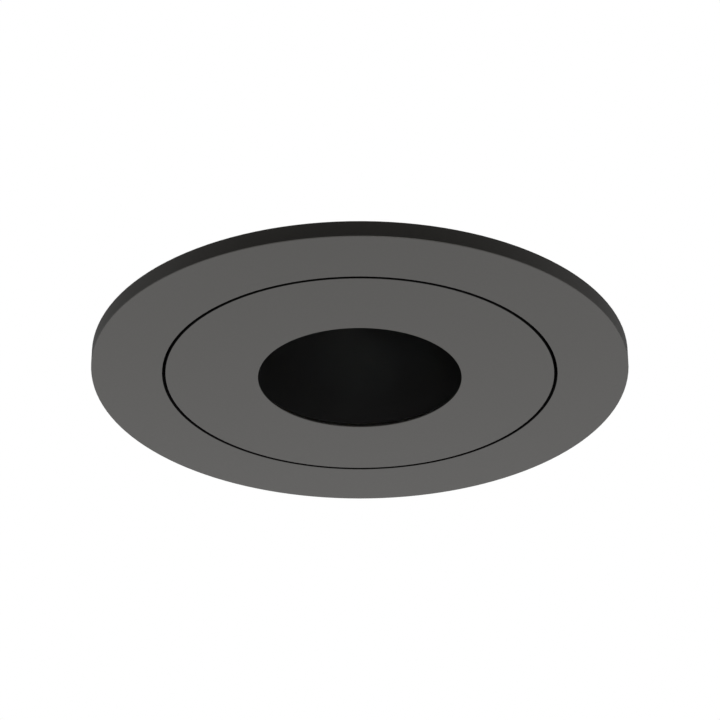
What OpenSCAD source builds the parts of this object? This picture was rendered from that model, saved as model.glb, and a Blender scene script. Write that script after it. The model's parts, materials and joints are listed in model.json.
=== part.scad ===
// Adjustable soffit downlight: a trim flange, a carrier ring that turns in it and a pinhole
// lamp that tilts in the ring, held in a cut-out by two sprung clips.
// Millimetres. +Z points up into the soffit. The origin is the centre of the seat, the plane
// of the flange gasket that lies against the soffit. Heights named _h in the lamp count up
// from the front face.

/* [Insert] */
// Diameter of the tilting disc
insert_d = 72.6; // [68:0.2:84]
// Thickness of the tilting disc
insert_t = 2; // [1.8:0.1:2.4]
// Width of the seam between disc and flange
seam_w = 0.5; // [0.45:0.05:0.9]
// Diameter of the aperture
aperture_d = 38; // [30:0.5:40]
// Height of the straight edge at the aperture's mouth
aperture_land = 0.3; // [0.2:0.05:0.5]
// Depth of the bevel behind the aperture's mouth
aperture_bevel = 1.2; // [0.8:0.1:1.3]
// Bevel on the front edges
edge_bevel = 0.1; // [0.05:0.05:0.4]
// Height of the hub that holds the barrel
hub_h = 4; // [3:0.5:6]
// Thickness of the hub's wall
hub_wall = 5; // [4.8:0.1:6]
// Number of ribs on the back of the disc
rib_count = 8; // [4:4:12]
// Height of the ribs
rib_h = 1.6; // [1:0.1:2.5]
// Thickness of the ribs
rib_t = 1.2; // [0.8:0.1:2]

/* [Trim flange] */
// Width of the flange's face, from the seam to the rim
flange_w = 13.2; // [12:0.1:20]
// Height of the rim
rim_h = 3.1; // [2.6:0.1:3.6]
// Thickness of the rim's wall
rim_wall = 1.4; // [1:0.1:2]
// Thickness of the flange's face
face_t = 1.6; // [1.2:0.1:2]
// How far the gasket stands proud of the rim
gasket_proud = 0.4; // [0.2:0.1:0.8]
// Width of the collar's foot, the step that centres the gasket
gasket_step = 4.2; // [4:0.1:4.6]
// Thickness of the collar's foot
foot_t = 1; // [0.9:0.1:1.2]
// Height of the collar above the seat
collar_h = 12; // [11.6:0.1:13]
// Thickness of the collar's wall
collar_wall = 1.6; // [1.4:0.1:2.2]

/* [Carrier ring] */
// Thickness of the carrier ring's wall
ring_wall = 1.9; // [1.8:0.1:2.4]
// Height of the carrier ring
ring_h = 9.8; // [9.4:0.1:10.2]
// How much wider the ring is inside than the flange's lip
ring_step = 0.4; // [0.3:0.1:1]
// Height of the tilt axis above the front face
pivot_h = 4; // [3.8:0.1:4.2]
// Furthest tilt, in degrees
tilt_max = 30; // [15:1:30]
// Furthest turn to either side, in degrees
pan_max = 175; // [150:1:176]
// Radius of the quadrant that the tilt lock clamps
quadrant_r = 9.5; // [9:0.1:10.5]
// Radius from the tilt axis to the lock screw
lock_r = 6.5; // [6:0.1:6.8]
// Thickness of the snap ring
snap_t = 1; // [0.8:0.1:1.4]
// Section diameter of the friction ring
friction_d = 1.2; // [1:0.1:1.4]

/* [Spring clips] */
// Angle at which a free blade slopes down, in degrees
clip_drop = 12; // [5:1:25]
// Length of a blade from its pin
blade_l = 30; // [24:1:40]
// Width of a blade
blade_w = 9; // [8.6:0.1:12]
// Sheet thickness of a blade
blade_t = 0.6; // [0.5:0.1:1]
// Sheet thickness of a clip bracket
bracket_t = 0.8; // [0.6:0.1:1]
// Height of a clip's pin above the seat
pin_z = 11.5; // [11:0.1:13]
// Diameter of a clip's pin
pin_d = 1.8; // [1.6:0.1:2]
// Wire diameter of the torsion springs
wire_d = 0.6; // [0.5:0.05:0.7]
// Whole curls of a torsion spring
curl_count = 6; // [4:1:6]
// Rise from curl to curl
curl_pitch = 1.05; // [1.02:0.01:1.1]
// Length of the rubber sleeve on a blade's tip
sleeve_l = 9; // [6:0.5:12]

/* [Lamp] */
// Wall thickness of the barrel
barrel_wall = 1.1; // [1:0.1:1.6]
// Height of the dark wall behind the aperture
baffle_h = 21.5; // [16:0.1:24]
// Height of the barrel above the lens seat
optic_h = 15.2; // [14.6:0.1:18]
// Thickness of the lens
lens_t = 2; // [1.5:0.1:3]
// Thickness of the lens gasket
lens_gasket_t = 0.8; // [0.5:0.1:1.2]
// Side of the square light source
led_side = 15; // [12:0.5:16]
// Thickness of the light source's board
led_t = 1.2; // [0.8:0.1:1.5]
// Diameter of the lit disc
phosphor_d = 10.4; // [8:0.2:11]

/* [Heat sink] */
// Diameter of the heat sink
sink_d = 49; // [48:0.5:50]
// Thickness of the heat sink's base
sink_base_t = 4; // [3.8:0.1:6]
// Height of the fins
fin_h = 19; // [12:0.5:28]
// Number of fins
fin_count = 20; // [12:4:24]
// Thickness of a fin
fin_t = 1.3; // [1:0.1:1.4]
// Diameter of the solid core
core_d = 16; // [12:0.5:17]
// Thickness of the plate that carries the rear cap
sink_plate_t = 2; // [1.8:0.1:3]

/* [Rear cap] */
// Inner height of the rear cap
cap_room = 14; // [14:0.5:20]
// Wall thickness of the rear cap
cap_wall = 1.6; // [1.4:0.1:2]
// Thickness of the rear cap's gasket
cap_gasket_t = 0.8; // [0.5:0.1:1.2]
// Height of the standoffs under the driver board
standoff_h = 3.3; // [2:0.1:4]
// Thickness of the driver board
board_t = 1.6; // [1.2:0.1:2]
// Thread diameter of the cable gland
gland_d = 12; // [11:0.5:12]
// Width across the flats of the gland's hexagons
gland_af = 15; // [14.5:0.5:16]
// Diameter of the cable that the gland's seal takes
cable_d = 6.5; // [5:0.1:6.8]

/* [Hidden] */
$fn = 96;

// Clearances
fit_gap = 0.1;      // between pieces that are fixed in one another
pin_gap = 0.05;     // running clearance of a pin or shaft, on the radius
run_gap = 0.3;      // between curved faces that move past each other
face_gap = 0.05;    // between flat faces that move past each other
cut = 1;            // how far a cut runs past the face that it opens

// Colours
c_black = "#2c2b29";
c_baffle = "#161615";
c_rubber = "#1d1d1d";
c_steel = "#b9bcc0";
c_zinc = "#a9aaa6";
c_alu = "#c9cbcc";
c_plastic = "#242526";
c_nylon = "#d8d6ce";

// Fasteners: thread radius, head radius, head height
m2 = [1, 1.9, 1.3];
m25 = [1.25, 1.9, 1.4];
thread_gap = 0.02;  // between a thread and its tapped hole, on the radius
clear_gap = 0.2;    // between a thread and a clearance hole, on the radius
set_of_screws = 3;  // screws in a set

// Radii of the front, from the middle out
aperture_r = aperture_d / 2;
baffle_r = aperture_r + aperture_bevel;
barrel_r = baffle_r + barrel_wall;
hub_r = barrel_r + hub_wall;
insert_r = insert_d / 2;
lip_r = insert_r + seam_w;
ring_in_r = lip_r + ring_step;
ring_out_r = ring_in_r + ring_wall;
collar_in_r = ring_out_r + run_gap;
collar_r = collar_in_r + collar_wall;
foot_r = collar_r + gasket_step;
flange_r = lip_r + flange_w;
rim_in_r = flange_r - rim_wall;

// Heights of the flange, from the seat
face_z = -(rim_h + gasket_proud);
ledge_z = face_z + face_t;
foot_top_z = ledge_z + foot_t;
blind_depth = 0.7 * face_t;
ring_z = ledge_z + run_gap;
ring_top_z = ring_z + ring_h;
snap_z = ring_top_z + run_gap;
snap_out_r = collar_in_r + collar_wall / 3;
pivot_z = face_z + pivot_h;

// Low screws that hold the collar's foot on the flange
foot_screw_count = 6;
foot_screw_r = (collar_r + foot_r) / 2;
foot_screw = [m2[0], gasket_step / 2 - 2 * fit_gap, 0.6];

// Ears of the insert, in which the pivots run
ear_t = 1.8;
ear_x = sqrt(pow(insert_r, 2) - pow(quadrant_r, 2)) - run_gap;
ear_in_x = ear_x - ear_t;
washer_t = 0.5;
boss_x = ear_x + washer_t + 2 * face_gap;
boss_r = pivot_z - ring_z;
shoulder_r = 1.5;
lock_thread_r = m2[0];
lock_angle = 90 - tilt_max / 2;

// Pan stop: a pin in the ledge and a groove with one land in the ring
stop_r = (ring_in_r + ring_out_r) / 2;
stop_pin_r = 0.5;
stop_pin_h = 0.6;
stop_groove = 0.8;
stop_land = 2 * (stop_r * sin(180 - pan_max) - stop_pin_r - pin_gap);

// Friction ring in the wall of the carrier
friction_r = friction_d / 2;
friction_major = collar_in_r - pin_gap - friction_r;
friction_z = ring_z + ring_h * 0.6;

// Spring clips: the bracket stands on a flat of the collar, its pin just clear of it
flat_depth = 0.6;
flat_x = collar_r - flat_depth;
plate_x = flat_x + bracket_t;
pin_r = pin_d / 2;
wire_r = wire_d / 2;
coil_r = pin_r + wire_r + 0.2;
coil_out_r = coil_r + wire_r;
pin_x = plate_x + coil_out_r + face_gap;
bracket_in_y = blade_w / 2 + run_gap;
bracket_y = bracket_in_y + bracket_t;
bracket_ear_r = pin_r + 1.3;
bracket_z = 2;
web_top = -coil_out_r - face_gap;
web_low = web_top - blade_t;
bracket_leg_l = 4.2;
blade_leg_l = 7;
bracket_top_z = pin_z + bracket_leg_l + wire_d;
rivet_z = 5.4;
rivet_y = 3;
rivet_r = 0.9;
rivet_head_r = 1.5;
rivet_crown_r = 1.05;
rivet_head_h = 0.7;
rivet_in_l = 0.55 * collar_wall;

// Torsion spring: whole curls and the part of one that brings the leg onto the blade
spring_sides = 6;
spring_rings = 8;
curl_turn = curl_count * 360 + 90 - clip_drop;
curl_rise = curl_pitch * curl_turn / 360;
spring_steps = ceil(curl_turn * spring_rings / 360);

// Tab of the collar with the hole for a safety tether
tether_r = 2;
tether_w = 10;
tether_wall = 1.5;
tether_z = collar_h + tether_r + tether_wall;
tether_top_z = tether_z + tether_r + tether_wall;

// Heights of the lamp, from the front face
barrel_h = aperture_land + aperture_bevel;
hub_top_h = insert_t + hub_h;
barrel_flange_t = 1.8;
seat_h = barrel_h + baffle_h;
seat_t = 1;
seat_top_h = seat_h + seat_t;
lens_h = seat_top_h + lens_gasket_t;
reflector_h = lens_h + lens_t;
sink_h = seat_top_h + optic_h;
fins_h = sink_h + sink_base_t;
sink_plate_h = fins_h + fin_h;
box_h = sink_plate_h + sink_plate_t;
cap_h = box_h + cap_gasket_t;
cap_in_h = box_h + cap_room;
cap_top_h = cap_in_h + cap_wall;

// Radii of the lamp behind the baffle: the heat sink's rim takes the screws, round the optic
sink_r = sink_d / 2;
core_r = core_d / 2;
sink_screw_r = sink_r - m25[1] - fit_gap;
optic_out_r = sink_screw_r - m25[1] - run_gap;
optic_r = optic_out_r - barrel_wall;
seat_w = 2.4;
seat_r = min(optic_r, baffle_r) - seat_w;
shoulder_out_r = max(optic_out_r, barrel_r);
barrel_screw_r = (barrel_r + hub_r) / 2;
top_flange_t = 2;

// Light source and its holder, hung under the heat sink's base
pad_t = 0.3;
holder_t = 2.3;
holder_r = optic_r - 1.7;
holder_lip = holder_t - pad_t - led_t;
holder_h = sink_h - holder_t;
led_h = sink_h - pad_t - led_t;
phosphor_r = phosphor_d / 2;
phosphor_t = 0.4;
mouth_r = phosphor_r + 2.2;
holder_screw_r = (led_side / sqrt(2) + holder_r) / 2 - fit_gap;
lead_r = 0.7;
lead_ring_r = led_side / 2 + 3.5;
lead_angle = 180 / fin_count;

// Rear cap and the driver's board
cap_r = sink_r;
cap_in_r = cap_r - cap_wall;
pillar_r = 2.6;
pillar_ring_r = cap_in_r - pillar_r - run_gap;
pillar_turn = 30;
cap_head_depth = 1.4;
board_r = cap_in_r - 1.4;
board_h = box_h + standoff_h;
board_top_h = board_h + board_t;
standoff_r = 2.2;
standoff_ring_r = pillar_ring_r - 1.7;
standoff_turn = pillar_turn + 180 / set_of_screws;

// Parts on the driver's board: their places follow its radius
transformer_size = [0.42 * board_r, 0.6 * board_r, cap_in_h - board_top_h - fit_gap];
transformer_x = -0.66 * board_r;
capacitor_r = 4;
capacitor_l = 11;
capacitor_x = 0.61 * board_r;
choke_r = 4;
choke_h = 7.5;
choke_x = 0.26 * board_r;
choke_y = -0.63 * board_r;
terminal_size = [15.6, 6.2, 8];
terminal_y = 0.56 * board_r;
terminal_pitch = 5;
terminal_screw_r = 1.4;
terminal_screw_l = 1.6;
terminal_sink = 2.4;
terminal_bore_r = 1.5;
terminal_bore_depth = 5.6;

// Cable gland: what passes the rear cap, the hexagon on it, the seal and the nut
gland_r = gland_d / 2;
gland_gasket_t = 0.5;
gland_gasket_w = 1.5;
gland_seat_h = cap_top_h + gland_gasket_t;
gland_hex_r = gland_af / sqrt(3);
gland_hex_t = 4;
gland_hex_h = gland_seat_h + gland_hex_t;
gland_thread_l = 4.5;
locknut_t = 2.4;
stub_h = cap_in_h - locknut_t - 1;
cable_r = cable_d / 2;
cable_room_r = cable_r + 0.7;
seal_r = gland_r - 1.4;
seal_l = 8.4;
seal_h = gland_hex_h - 2;
nut_l = 9.6;
nut_h = gland_hex_h + 0.5;
nut_crown = 3.5;

// Shapes that repeat

module lathe(outline) rotate_extrude() polygon(outline);

module ring(inner_r, outer_r, height) {
    difference() {
        cylinder(r = outer_r, h = height);
        translate([0, 0, -cut]) cylinder(r = inner_r, h = height + 2 * cut);
    }
}

module around(count, radius, turn = 0)
    for (i = [0 : count - 1])
        rotate(turn + i * 360 / count) translate([radius, 0, 0]) children();

module both_sides() for (turn = [0, 180]) rotate(turn) children();

// Lifts a piece of the lamp to its height above the front face
module at_h(height) translate([0, 0, face_z + height]) children();

// Screw along +Z: its head stands below z = 0 and its thread above
module screw(size, length) {
    socket_r = size[0] * 0.75;
    difference() {
        union() {
            cylinder(r = size[0], h = length);
            translate([0, 0, -size[2]]) cylinder(r = size[1], h = size[2]);
        }
        translate([0, 0, -size[2] - cut]) cylinder(r = socket_r, h = size[2] / 2 + cut, $fn = 6);
    }
}

// Trim flange and what is fixed to it

module foot_screws_at() around(foot_screw_count, foot_screw_r, 180 / foot_screw_count) children();

module trim_flange()
    color(c_black)
    difference() {
        lathe([
            [lip_r + edge_bevel, face_z],
            [flange_r - edge_bevel, face_z],
            [flange_r, face_z + edge_bevel],
            [flange_r, -gasket_proud],
            [rim_in_r, -gasket_proud],
            [rim_in_r, ledge_z],
            [lip_r, ledge_z],
            [lip_r, face_z + edge_bevel]]);
        translate([0, 0, ledge_z - blind_depth]) {
            foot_screws_at() cylinder(r = m2[0] + thread_gap, h = blind_depth + cut);
            translate([0, stop_r, 0]) cylinder(r = stop_pin_r + thread_gap, h = blind_depth + cut);
        }
    }

module collar() {
    tab_z = snap_z + snap_t + fit_gap;
    color(c_black)
    difference() {
        union() {
            lathe([
                [collar_in_r, ledge_z],
                [foot_r, ledge_z],
                [foot_r, foot_top_z],
                [collar_r, foot_top_z],
                [collar_r, collar_h],
                [collar_in_r, collar_h]]);
            translate([-tether_w / 2, collar_in_r, tab_z])
                cube([tether_w, collar_wall, tether_top_z - tab_z]);
        }
        translate([0, 0, snap_z - fit_gap]) ring(ring_in_r, snap_out_r + fit_gap, snap_t + 2 * fit_gap);
        both_sides() {
            translate([flat_x, -bracket_y - fit_gap, bracket_z - fit_gap])
                cube([collar_wall, 2 * (bracket_y + fit_gap), collar_h]);
            at_rivets() cylinder(r = rivet_r + thread_gap, h = 4 * collar_wall, center = true);
        }
        translate([0, collar_r, tether_z]) rotate([90, 0, 0])
            cylinder(r = tether_r, h = 4 * collar_wall, center = true);
        translate([0, 0, ledge_z - cut]) foot_screws_at() cylinder(r = m2[0] + fit_gap, h = foot_t + 2 * cut);
    }
}

module collar_screws()
    color(c_steel) translate([0, 0, foot_top_z]) foot_screws_at() mirror([0, 0, 1])
        screw(foot_screw, foot_t + blind_depth - fit_gap);

module flange_gasket()
    color(c_rubber) translate([0, 0, ledge_z]) ring(foot_r + fit_gap, rim_in_r - fit_gap, -ledge_z);

module retaining_ring() {
    gap_w = 9;
    eye_r = 1.6;
    eye_hole_r = 0.7;
    snap_in_r = ring_in_r + 0.8;
    eye_x = gap_w / 2 + eye_r;
    eye_y = -sqrt(pow(snap_out_r - eye_r, 2) - pow(eye_x, 2));
    color(c_steel) translate([0, 0, snap_z])
    difference() {
        union() {
            difference() {
                ring(snap_in_r, snap_out_r, snap_t);
                translate([-gap_w / 2, -collar_r, -cut]) cube([gap_w, collar_r, snap_t + 2 * cut]);
            }
            for (x = [-eye_x, eye_x]) translate([x, eye_y, 0]) cylinder(r = eye_r, h = snap_t);
        }
        for (x = [-eye_x, eye_x])
            translate([x, eye_y, -cut]) cylinder(r = eye_hole_r, h = snap_t + 2 * cut);
    }
}

module pan_stop_pin()
    color(c_steel) translate([0, stop_r, ledge_z - blind_depth])
        cylinder(r = stop_pin_r, h = blind_depth + run_gap + stop_pin_h);

// Spring clips, drawn for the right side and turned for the left

module at_side(side) rotate(side == "left" ? 180 : 0) children();

module on_pin() translate([pin_x, 0, pin_z]) children();

// Blade frame: +X along the blade, +Z off its upper face
module on_blade() on_pin() rotate([0, clip_drop, 0]) children();

module sheet(outline, y, thickness)
    translate([0, y + thickness, 0]) rotate([90, 0, 0]) linear_extrude(thickness) polygon(outline);

module at_rivets()
    for (y = [-rivet_y, rivet_y]) translate([flat_x, y, rivet_z]) rotate([0, 90, 0]) children();

module clip_bracket(side) {
    plate_h = bracket_top_z - bracket_z;
    color(c_zinc) at_side(side)
    difference() {
        union() {
            translate([flat_x, -bracket_y, bracket_z]) cube([bracket_t, 2 * bracket_y, plate_h]);
            for (y = [-bracket_y, bracket_in_y]) {
                translate([pin_x, y + bracket_t, pin_z]) rotate([90, 0, 0])
                    cylinder(r = bracket_ear_r, h = bracket_t);
                translate([flat_x, y, pin_z - bracket_ear_r])
                    cube([pin_x - flat_x, bracket_t, 2 * bracket_ear_r]);
            }
        }
        at_rivets() cylinder(r = rivet_r + thread_gap, h = 4 * bracket_t, center = true);
        on_pin() rotate([90, 0, 0]) cylinder(r = pin_r + thread_gap, h = 4 * bracket_y, center = true);
    }
}

module bracket_rivets()
    color(c_steel) both_sides() at_rivets() {
        translate([0, 0, bracket_t]) cylinder(r1 = rivet_head_r, r2 = rivet_crown_r, h = rivet_head_h);
        translate([0, 0, -rivet_in_l]) cylinder(r = rivet_r, h = rivet_in_l + bracket_t);
    }

module clip_pin(side) {
    head_r = pin_r + 0.6;
    head_t = 0.5;
    color(c_steel) at_side(side) on_pin() rotate([90, 0, 0]) {
        cylinder(r = pin_r, h = 2 * bracket_y, center = true);
        for (z = [-bracket_y - head_t, bracket_y]) translate([0, 0, z]) cylinder(r = head_r, h = head_t);
    }
}

module clip_blade(side) {
    cheek_l = 8;
    cheek_r = coil_out_r - fit_gap;
    cheek = [[0, web_low], [cheek_l, web_low], [cheek_l, web_top], [pin_d, cheek_r], [0, cheek_r]];
    color(c_steel) at_side(side) on_blade()
    difference() {
        union() {
            translate([0, -blade_w / 2, web_low]) cube([blade_l, blade_w, blade_t]);
            for (y = [-blade_w / 2, blade_w / 2 - blade_t]) {
                sheet(cheek, y, blade_t);
                translate([0, y + blade_t, 0]) rotate([90, 0, 0]) cylinder(r = cheek_r, h = blade_t);
            }
        }
        rotate([90, 0, 0]) cylinder(r = pin_r + pin_gap, h = 2 * blade_w, center = true);
    }
}

module clip_sleeve(side) {
    wall = 0.9;
    corner_r = 0.6;
    sleeve_h = blade_t + 2 * wall;
    sleeve_w = blade_w + 2 * wall;
    color(c_rubber) at_side(side) on_blade()
    difference() {
        translate([blade_l - sleeve_l, -sleeve_w / 2, web_low - wall])
            rounded_block(sleeve_l + wall, sleeve_w, sleeve_h, corner_r);
        translate([blade_l - sleeve_l - cut, -blade_w / 2, web_low]) cube([sleeve_l + cut, blade_w, blade_t]);
    }
}

// Block whose four long edges, along X, are rounded
module rounded_block(length, width, height, corner_r) {
    translate([0, corner_r, 0]) cube([length, width - 2 * corner_r, height]);
    translate([0, 0, corner_r]) cube([length, width, height - 2 * corner_r]);
    for (y = [corner_r, width - corner_r], z = [corner_r, height - corner_r])
        translate([0, y, z]) rotate([0, 90, 0]) cylinder(r = corner_r, h = length);
}

// Torsion spring: a leg up the bracket, the curls round the pin and a leg along the blade
function on_curl(t) = let (a = 180 + t * curl_turn)
    [coil_r * cos(a), (t - 0.5) * curl_rise, coil_r * sin(a)];

function spring_path() = let (end = on_curl(1)) concat(
    [for (z = [bracket_leg_l, bracket_leg_l / 2]) [-coil_r, -curl_rise / 2, z]],
    [for (i = [0 : spring_steps]) on_curl(i / spring_steps)],
    [for (l = [blade_leg_l / 2, blade_leg_l]) end + l * [cos(clip_drop), 0, -sin(clip_drop)]]);

function unit(v) = v / norm(v);

function tangent(path, i) = unit(path[min(i + 1, len(path) - 1)] - path[max(i - 1, 0)]);

function tube_points(path, radius, sides) = [
    for (i = [0 : len(path) - 1])
        let (t = tangent(path, i), side = unit(cross(t, [0, 1, 0])), up = cross(side, t))
            for (k = [0 : sides - 1]) let (a = k * 360 / sides)
                path[i] + radius * (cos(a) * side + sin(a) * up)];

function tube_faces(rings, sides) = concat(
    [for (k = [1 : sides - 2]) [0, k, k + 1]],
    [for (k = [1 : sides - 2]) let (e = (rings - 1) * sides) [e, e + k + 1, e + k]],
    [for (i = [0 : rings - 2], k = [0 : sides - 1]) let (a = i * sides + k, b = i * sides + (k + 1) % sides)
        each [[a, a + sides, b], [b, a + sides, b + sides]]]);

function self_gap(path, apart) = min([
    for (i = [0 : len(path) - 1 - apart], j = [i + apart : len(path) - 1]) norm(path[i] - path[j])]) - wire_d;

module torsion_spring(side) {
    path = spring_path();
    echo(torsion_spring_least_self_gap_mm = self_gap(path, spring_rings - 2));
    color(c_steel) at_side(side) on_pin()
        polyhedron(tube_points(path, wire_r, spring_sides), tube_faces(len(path), spring_sides));
}

// Carrier ring and what turns with it

// Frame of a pivot: its origin on the tilt axis, +Z outwards
module on_pivots() both_sides() translate([0, 0, pivot_z]) rotate([0, 90, 0]) children();

// The lock screw's place, on one side only
module on_lock()
    translate([0, lock_r * cos(lock_angle), pivot_z + lock_r * sin(lock_angle)]) rotate([0, 90, 0])
        children();

module carrier_ring() {
    groove_in_r = friction_major - friction_r - fit_gap / 2;
    lock_boss_r = lock_thread_r + 1.2;
    color(c_black)
    difference() {
        union() {
            translate([0, 0, ring_z]) ring(ring_in_r, ring_out_r, ring_h);
            intersection() {
                translate([0, 0, ring_z]) cylinder(r = (ring_in_r + ring_out_r) / 2, h = ring_h);
                union() {
                    on_pivots() translate([0, 0, boss_x]) cylinder(r = boss_r, h = ring_out_r - boss_x);
                    on_lock() translate([0, 0, boss_x]) cylinder(r = lock_boss_r, h = ring_out_r - boss_x);
                }
            }
        }
        translate([0, 0, friction_z - friction_r - fit_gap / 2])
            ring(groove_in_r, ring_out_r + cut, friction_d + fit_gap);
        difference() {
            translate([0, 0, ring_z - cut])
                ring(stop_r - stop_pin_r - fit_gap, stop_r + stop_pin_r + fit_gap, stop_groove + cut);
            translate([-stop_land / 2, -collar_r, ring_z - cut])
                cube([stop_land, collar_r, stop_groove + cut]);
        }
        on_pivots() cylinder(r = lock_thread_r + thread_gap, h = collar_r);
        on_lock() cylinder(r = lock_thread_r + thread_gap, h = collar_r);
    }
}

module friction_ring()
    color(c_rubber) translate([0, 0, friction_z])
        rotate_extrude() translate([friction_major, 0]) circle(r = friction_r, $fn = 24);

module pivot_screws()
    color(c_steel) on_pivots() {
        translate([0, 0, ear_in_x - face_gap])
            screw([shoulder_r, m2[1], m2[2]], boss_x - ear_in_x + face_gap);
        translate([0, 0, boss_x]) cylinder(r = lock_thread_r, h = ring_out_r - run_gap - boss_x);
    }

module pivot_washers()
    color(c_nylon) on_pivots()
        translate([0, 0, ear_x + face_gap]) ring(shoulder_r + pin_gap, boss_r - pin_gap, washer_t);

module tilt_lock_screw()
    color(c_steel) on_lock() translate([0, 0, ear_in_x - face_gap])
        screw(m2, ring_out_r - run_gap - ear_in_x);

// Lamp: the front

module insert_plate() {
    ear_root = insert_t / 2;
    slot_r = lock_thread_r + fit_gap;
    color(c_black)
    difference() {
        union() {
            at_h(0) lathe([
                [aperture_r + edge_bevel / 2, 0],
                [insert_r - edge_bevel, 0],
                [insert_r, edge_bevel],
                [insert_r, insert_t],
                [hub_r, insert_t],
                [hub_r, hub_top_h],
                [barrel_r + fit_gap, hub_top_h],
                [barrel_r + fit_gap, barrel_h],
                [baffle_r, barrel_h],
                [aperture_r, aperture_land],
                [aperture_r, edge_bevel / 2]]);
            at_h(insert_t - ear_root) around(rib_count, hub_r - rib_t, 180 / rib_count)
                translate([0, -rib_t / 2, 0]) cube([ear_in_x - hub_r, rib_t, rib_h + ear_root]);
            intersection() {
                on_pivots() translate([0, 0, ear_in_x]) cylinder(r = quadrant_r, h = ear_t);
                at_h(insert_t - ear_root) cylinder(r = insert_r, h = pivot_h + quadrant_r);
            }
        }
        on_pivots() {
            cylinder(r = shoulder_r + pin_gap, h = insert_d);
            translate([0, 0, ear_x]) cylinder(r = boss_r + run_gap, h = insert_r);
        }
        translate([0, 0, pivot_z]) rotate([0, 90, 0]) rotate(90 + lock_angle) lock_slot(slot_r);
        barrel_screws_at() translate([0, 0, -hub_h + cut]) cylinder(r = m2[0] + thread_gap, h = hub_h);
    }
}

// Slot of the quadrant, through one ear, from its end at no tilt to its end at full tilt
module lock_slot(slot_r) {
    rotate_extrude(angle = tilt_max) translate([lock_r - slot_r, 0]) square([2 * slot_r, insert_d]);
    for (turn = [0, tilt_max]) rotate(turn) translate([lock_r, 0, 0]) cylinder(r = slot_r, h = insert_d);
}

module barrel_screws_at() at_h(hub_top_h) around(set_of_screws, barrel_screw_r, 90) children();

module baffle_barrel()
    color(c_baffle)
    difference() {
        at_h(0) lathe([
            [baffle_r, barrel_h],
            [baffle_r, seat_h],
            [seat_r, seat_h],
            [seat_r, seat_top_h],
            [optic_r, seat_top_h],
            [optic_r, sink_h],
            [sink_r, sink_h],
            [sink_r, sink_h - top_flange_t],
            [optic_out_r, sink_h - top_flange_t],
            [optic_out_r, seat_top_h + barrel_wall],
            [shoulder_out_r, seat_top_h + barrel_wall],
            [shoulder_out_r, seat_h - barrel_wall],
            [barrel_r, seat_h - barrel_wall],
            [barrel_r, hub_top_h + barrel_flange_t],
            [hub_r, hub_top_h + barrel_flange_t],
            [hub_r, hub_top_h],
            [barrel_r, hub_top_h],
            [barrel_r, barrel_h]]);
        barrel_screws_at() translate([0, 0, -cut])
            cylinder(r = m2[0] + clear_gap, h = barrel_flange_t + 2 * cut);
        sink_screws_at() translate([0, 0, -cut]) cylinder(r = m25[0] + clear_gap, h = top_flange_t + 2 * cut);
    }

module barrel_screws()
    color(c_steel) barrel_screws_at() translate([0, 0, barrel_flange_t]) mirror([0, 0, 1])
        screw(m2, barrel_flange_t + hub_h - cut - fit_gap);

module lens_gasket() color(c_nylon) at_h(seat_top_h) ring(seat_r, optic_r - fit_gap, lens_gasket_t);

module lens() color("#e8eef0", 0.6) at_h(lens_h) cylinder(r = optic_r - fit_gap, h = lens_t);

module reflector() {
    rim_t = 1;
    wall = 0.9;
    steps = 8;
    wide_r = optic_r - 2 * rim_t - wall;
    depth = holder_h - reflector_h;
    function bowl(t) = sqrt(pow(mouth_r, 2) + (pow(wide_r, 2) - pow(mouth_r, 2)) * (1 - t));
    inside = [for (i = [0 : steps]) [bowl(i / steps), reflector_h + depth * i / steps]];
    outside = [for (i = [steps : -1 : 1]) [bowl(i / steps) + wall, reflector_h + depth * i / steps]];
    color("#d9dcde") at_h(0) lathe(concat(inside, outside, [
        [wide_r + wall, reflector_h + rim_t],
        [optic_r - fit_gap, reflector_h + rim_t],
        [optic_r - fit_gap, reflector_h]]));
}

// Lamp: the light source

module holder_screws_at() at_h(holder_h) around(2, holder_screw_r, 45) children();

module leads_at() around(2, lead_ring_r, lead_angle) children();

module led_holder()
    color("#e9e9e4")
    difference() {
        at_h(holder_h) ring(mouth_r, holder_r, holder_t);
        at_h(holder_h + holder_lip) translate([-led_side / 2 - fit_gap, -led_side / 2 - fit_gap, 0])
            cube([led_side + 2 * fit_gap, led_side + 2 * fit_gap, holder_t]);
        holder_screws_at() translate([0, 0, -cut]) cylinder(r = m2[0] + clear_gap, h = holder_t + 2 * cut);
        at_h(holder_h + holder_lip) leads_at() cylinder(r = lead_r + fit_gap, h = holder_t);
    }

module holder_screws() color(c_steel) holder_screws_at() screw(m2, holder_t + sink_base_t - cut);

module led_board()
    color("#e4e6e3") at_h(led_h) translate([-led_side / 2, -led_side / 2, 0])
        cube([led_side, led_side, led_t]);

module led_phosphor() color("#e6c23a") at_h(led_h - phosphor_t) cylinder(r = phosphor_r, h = phosphor_t);

module thermal_pad()
    color("#8f9294") at_h(sink_h - pad_t) translate([-led_side / 2, -led_side / 2, 0])
        cube([led_side, led_side, pad_t]);

module led_leads()
    color("#b3322b") at_h(holder_h + holder_lip) leads_at()
        cylinder(r = lead_r, h = board_h - holder_h - holder_lip);

// Lamp: the heat sink

module sink_screws_at() at_h(sink_h - top_flange_t) around(set_of_screws, sink_screw_r, 90) children();

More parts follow.
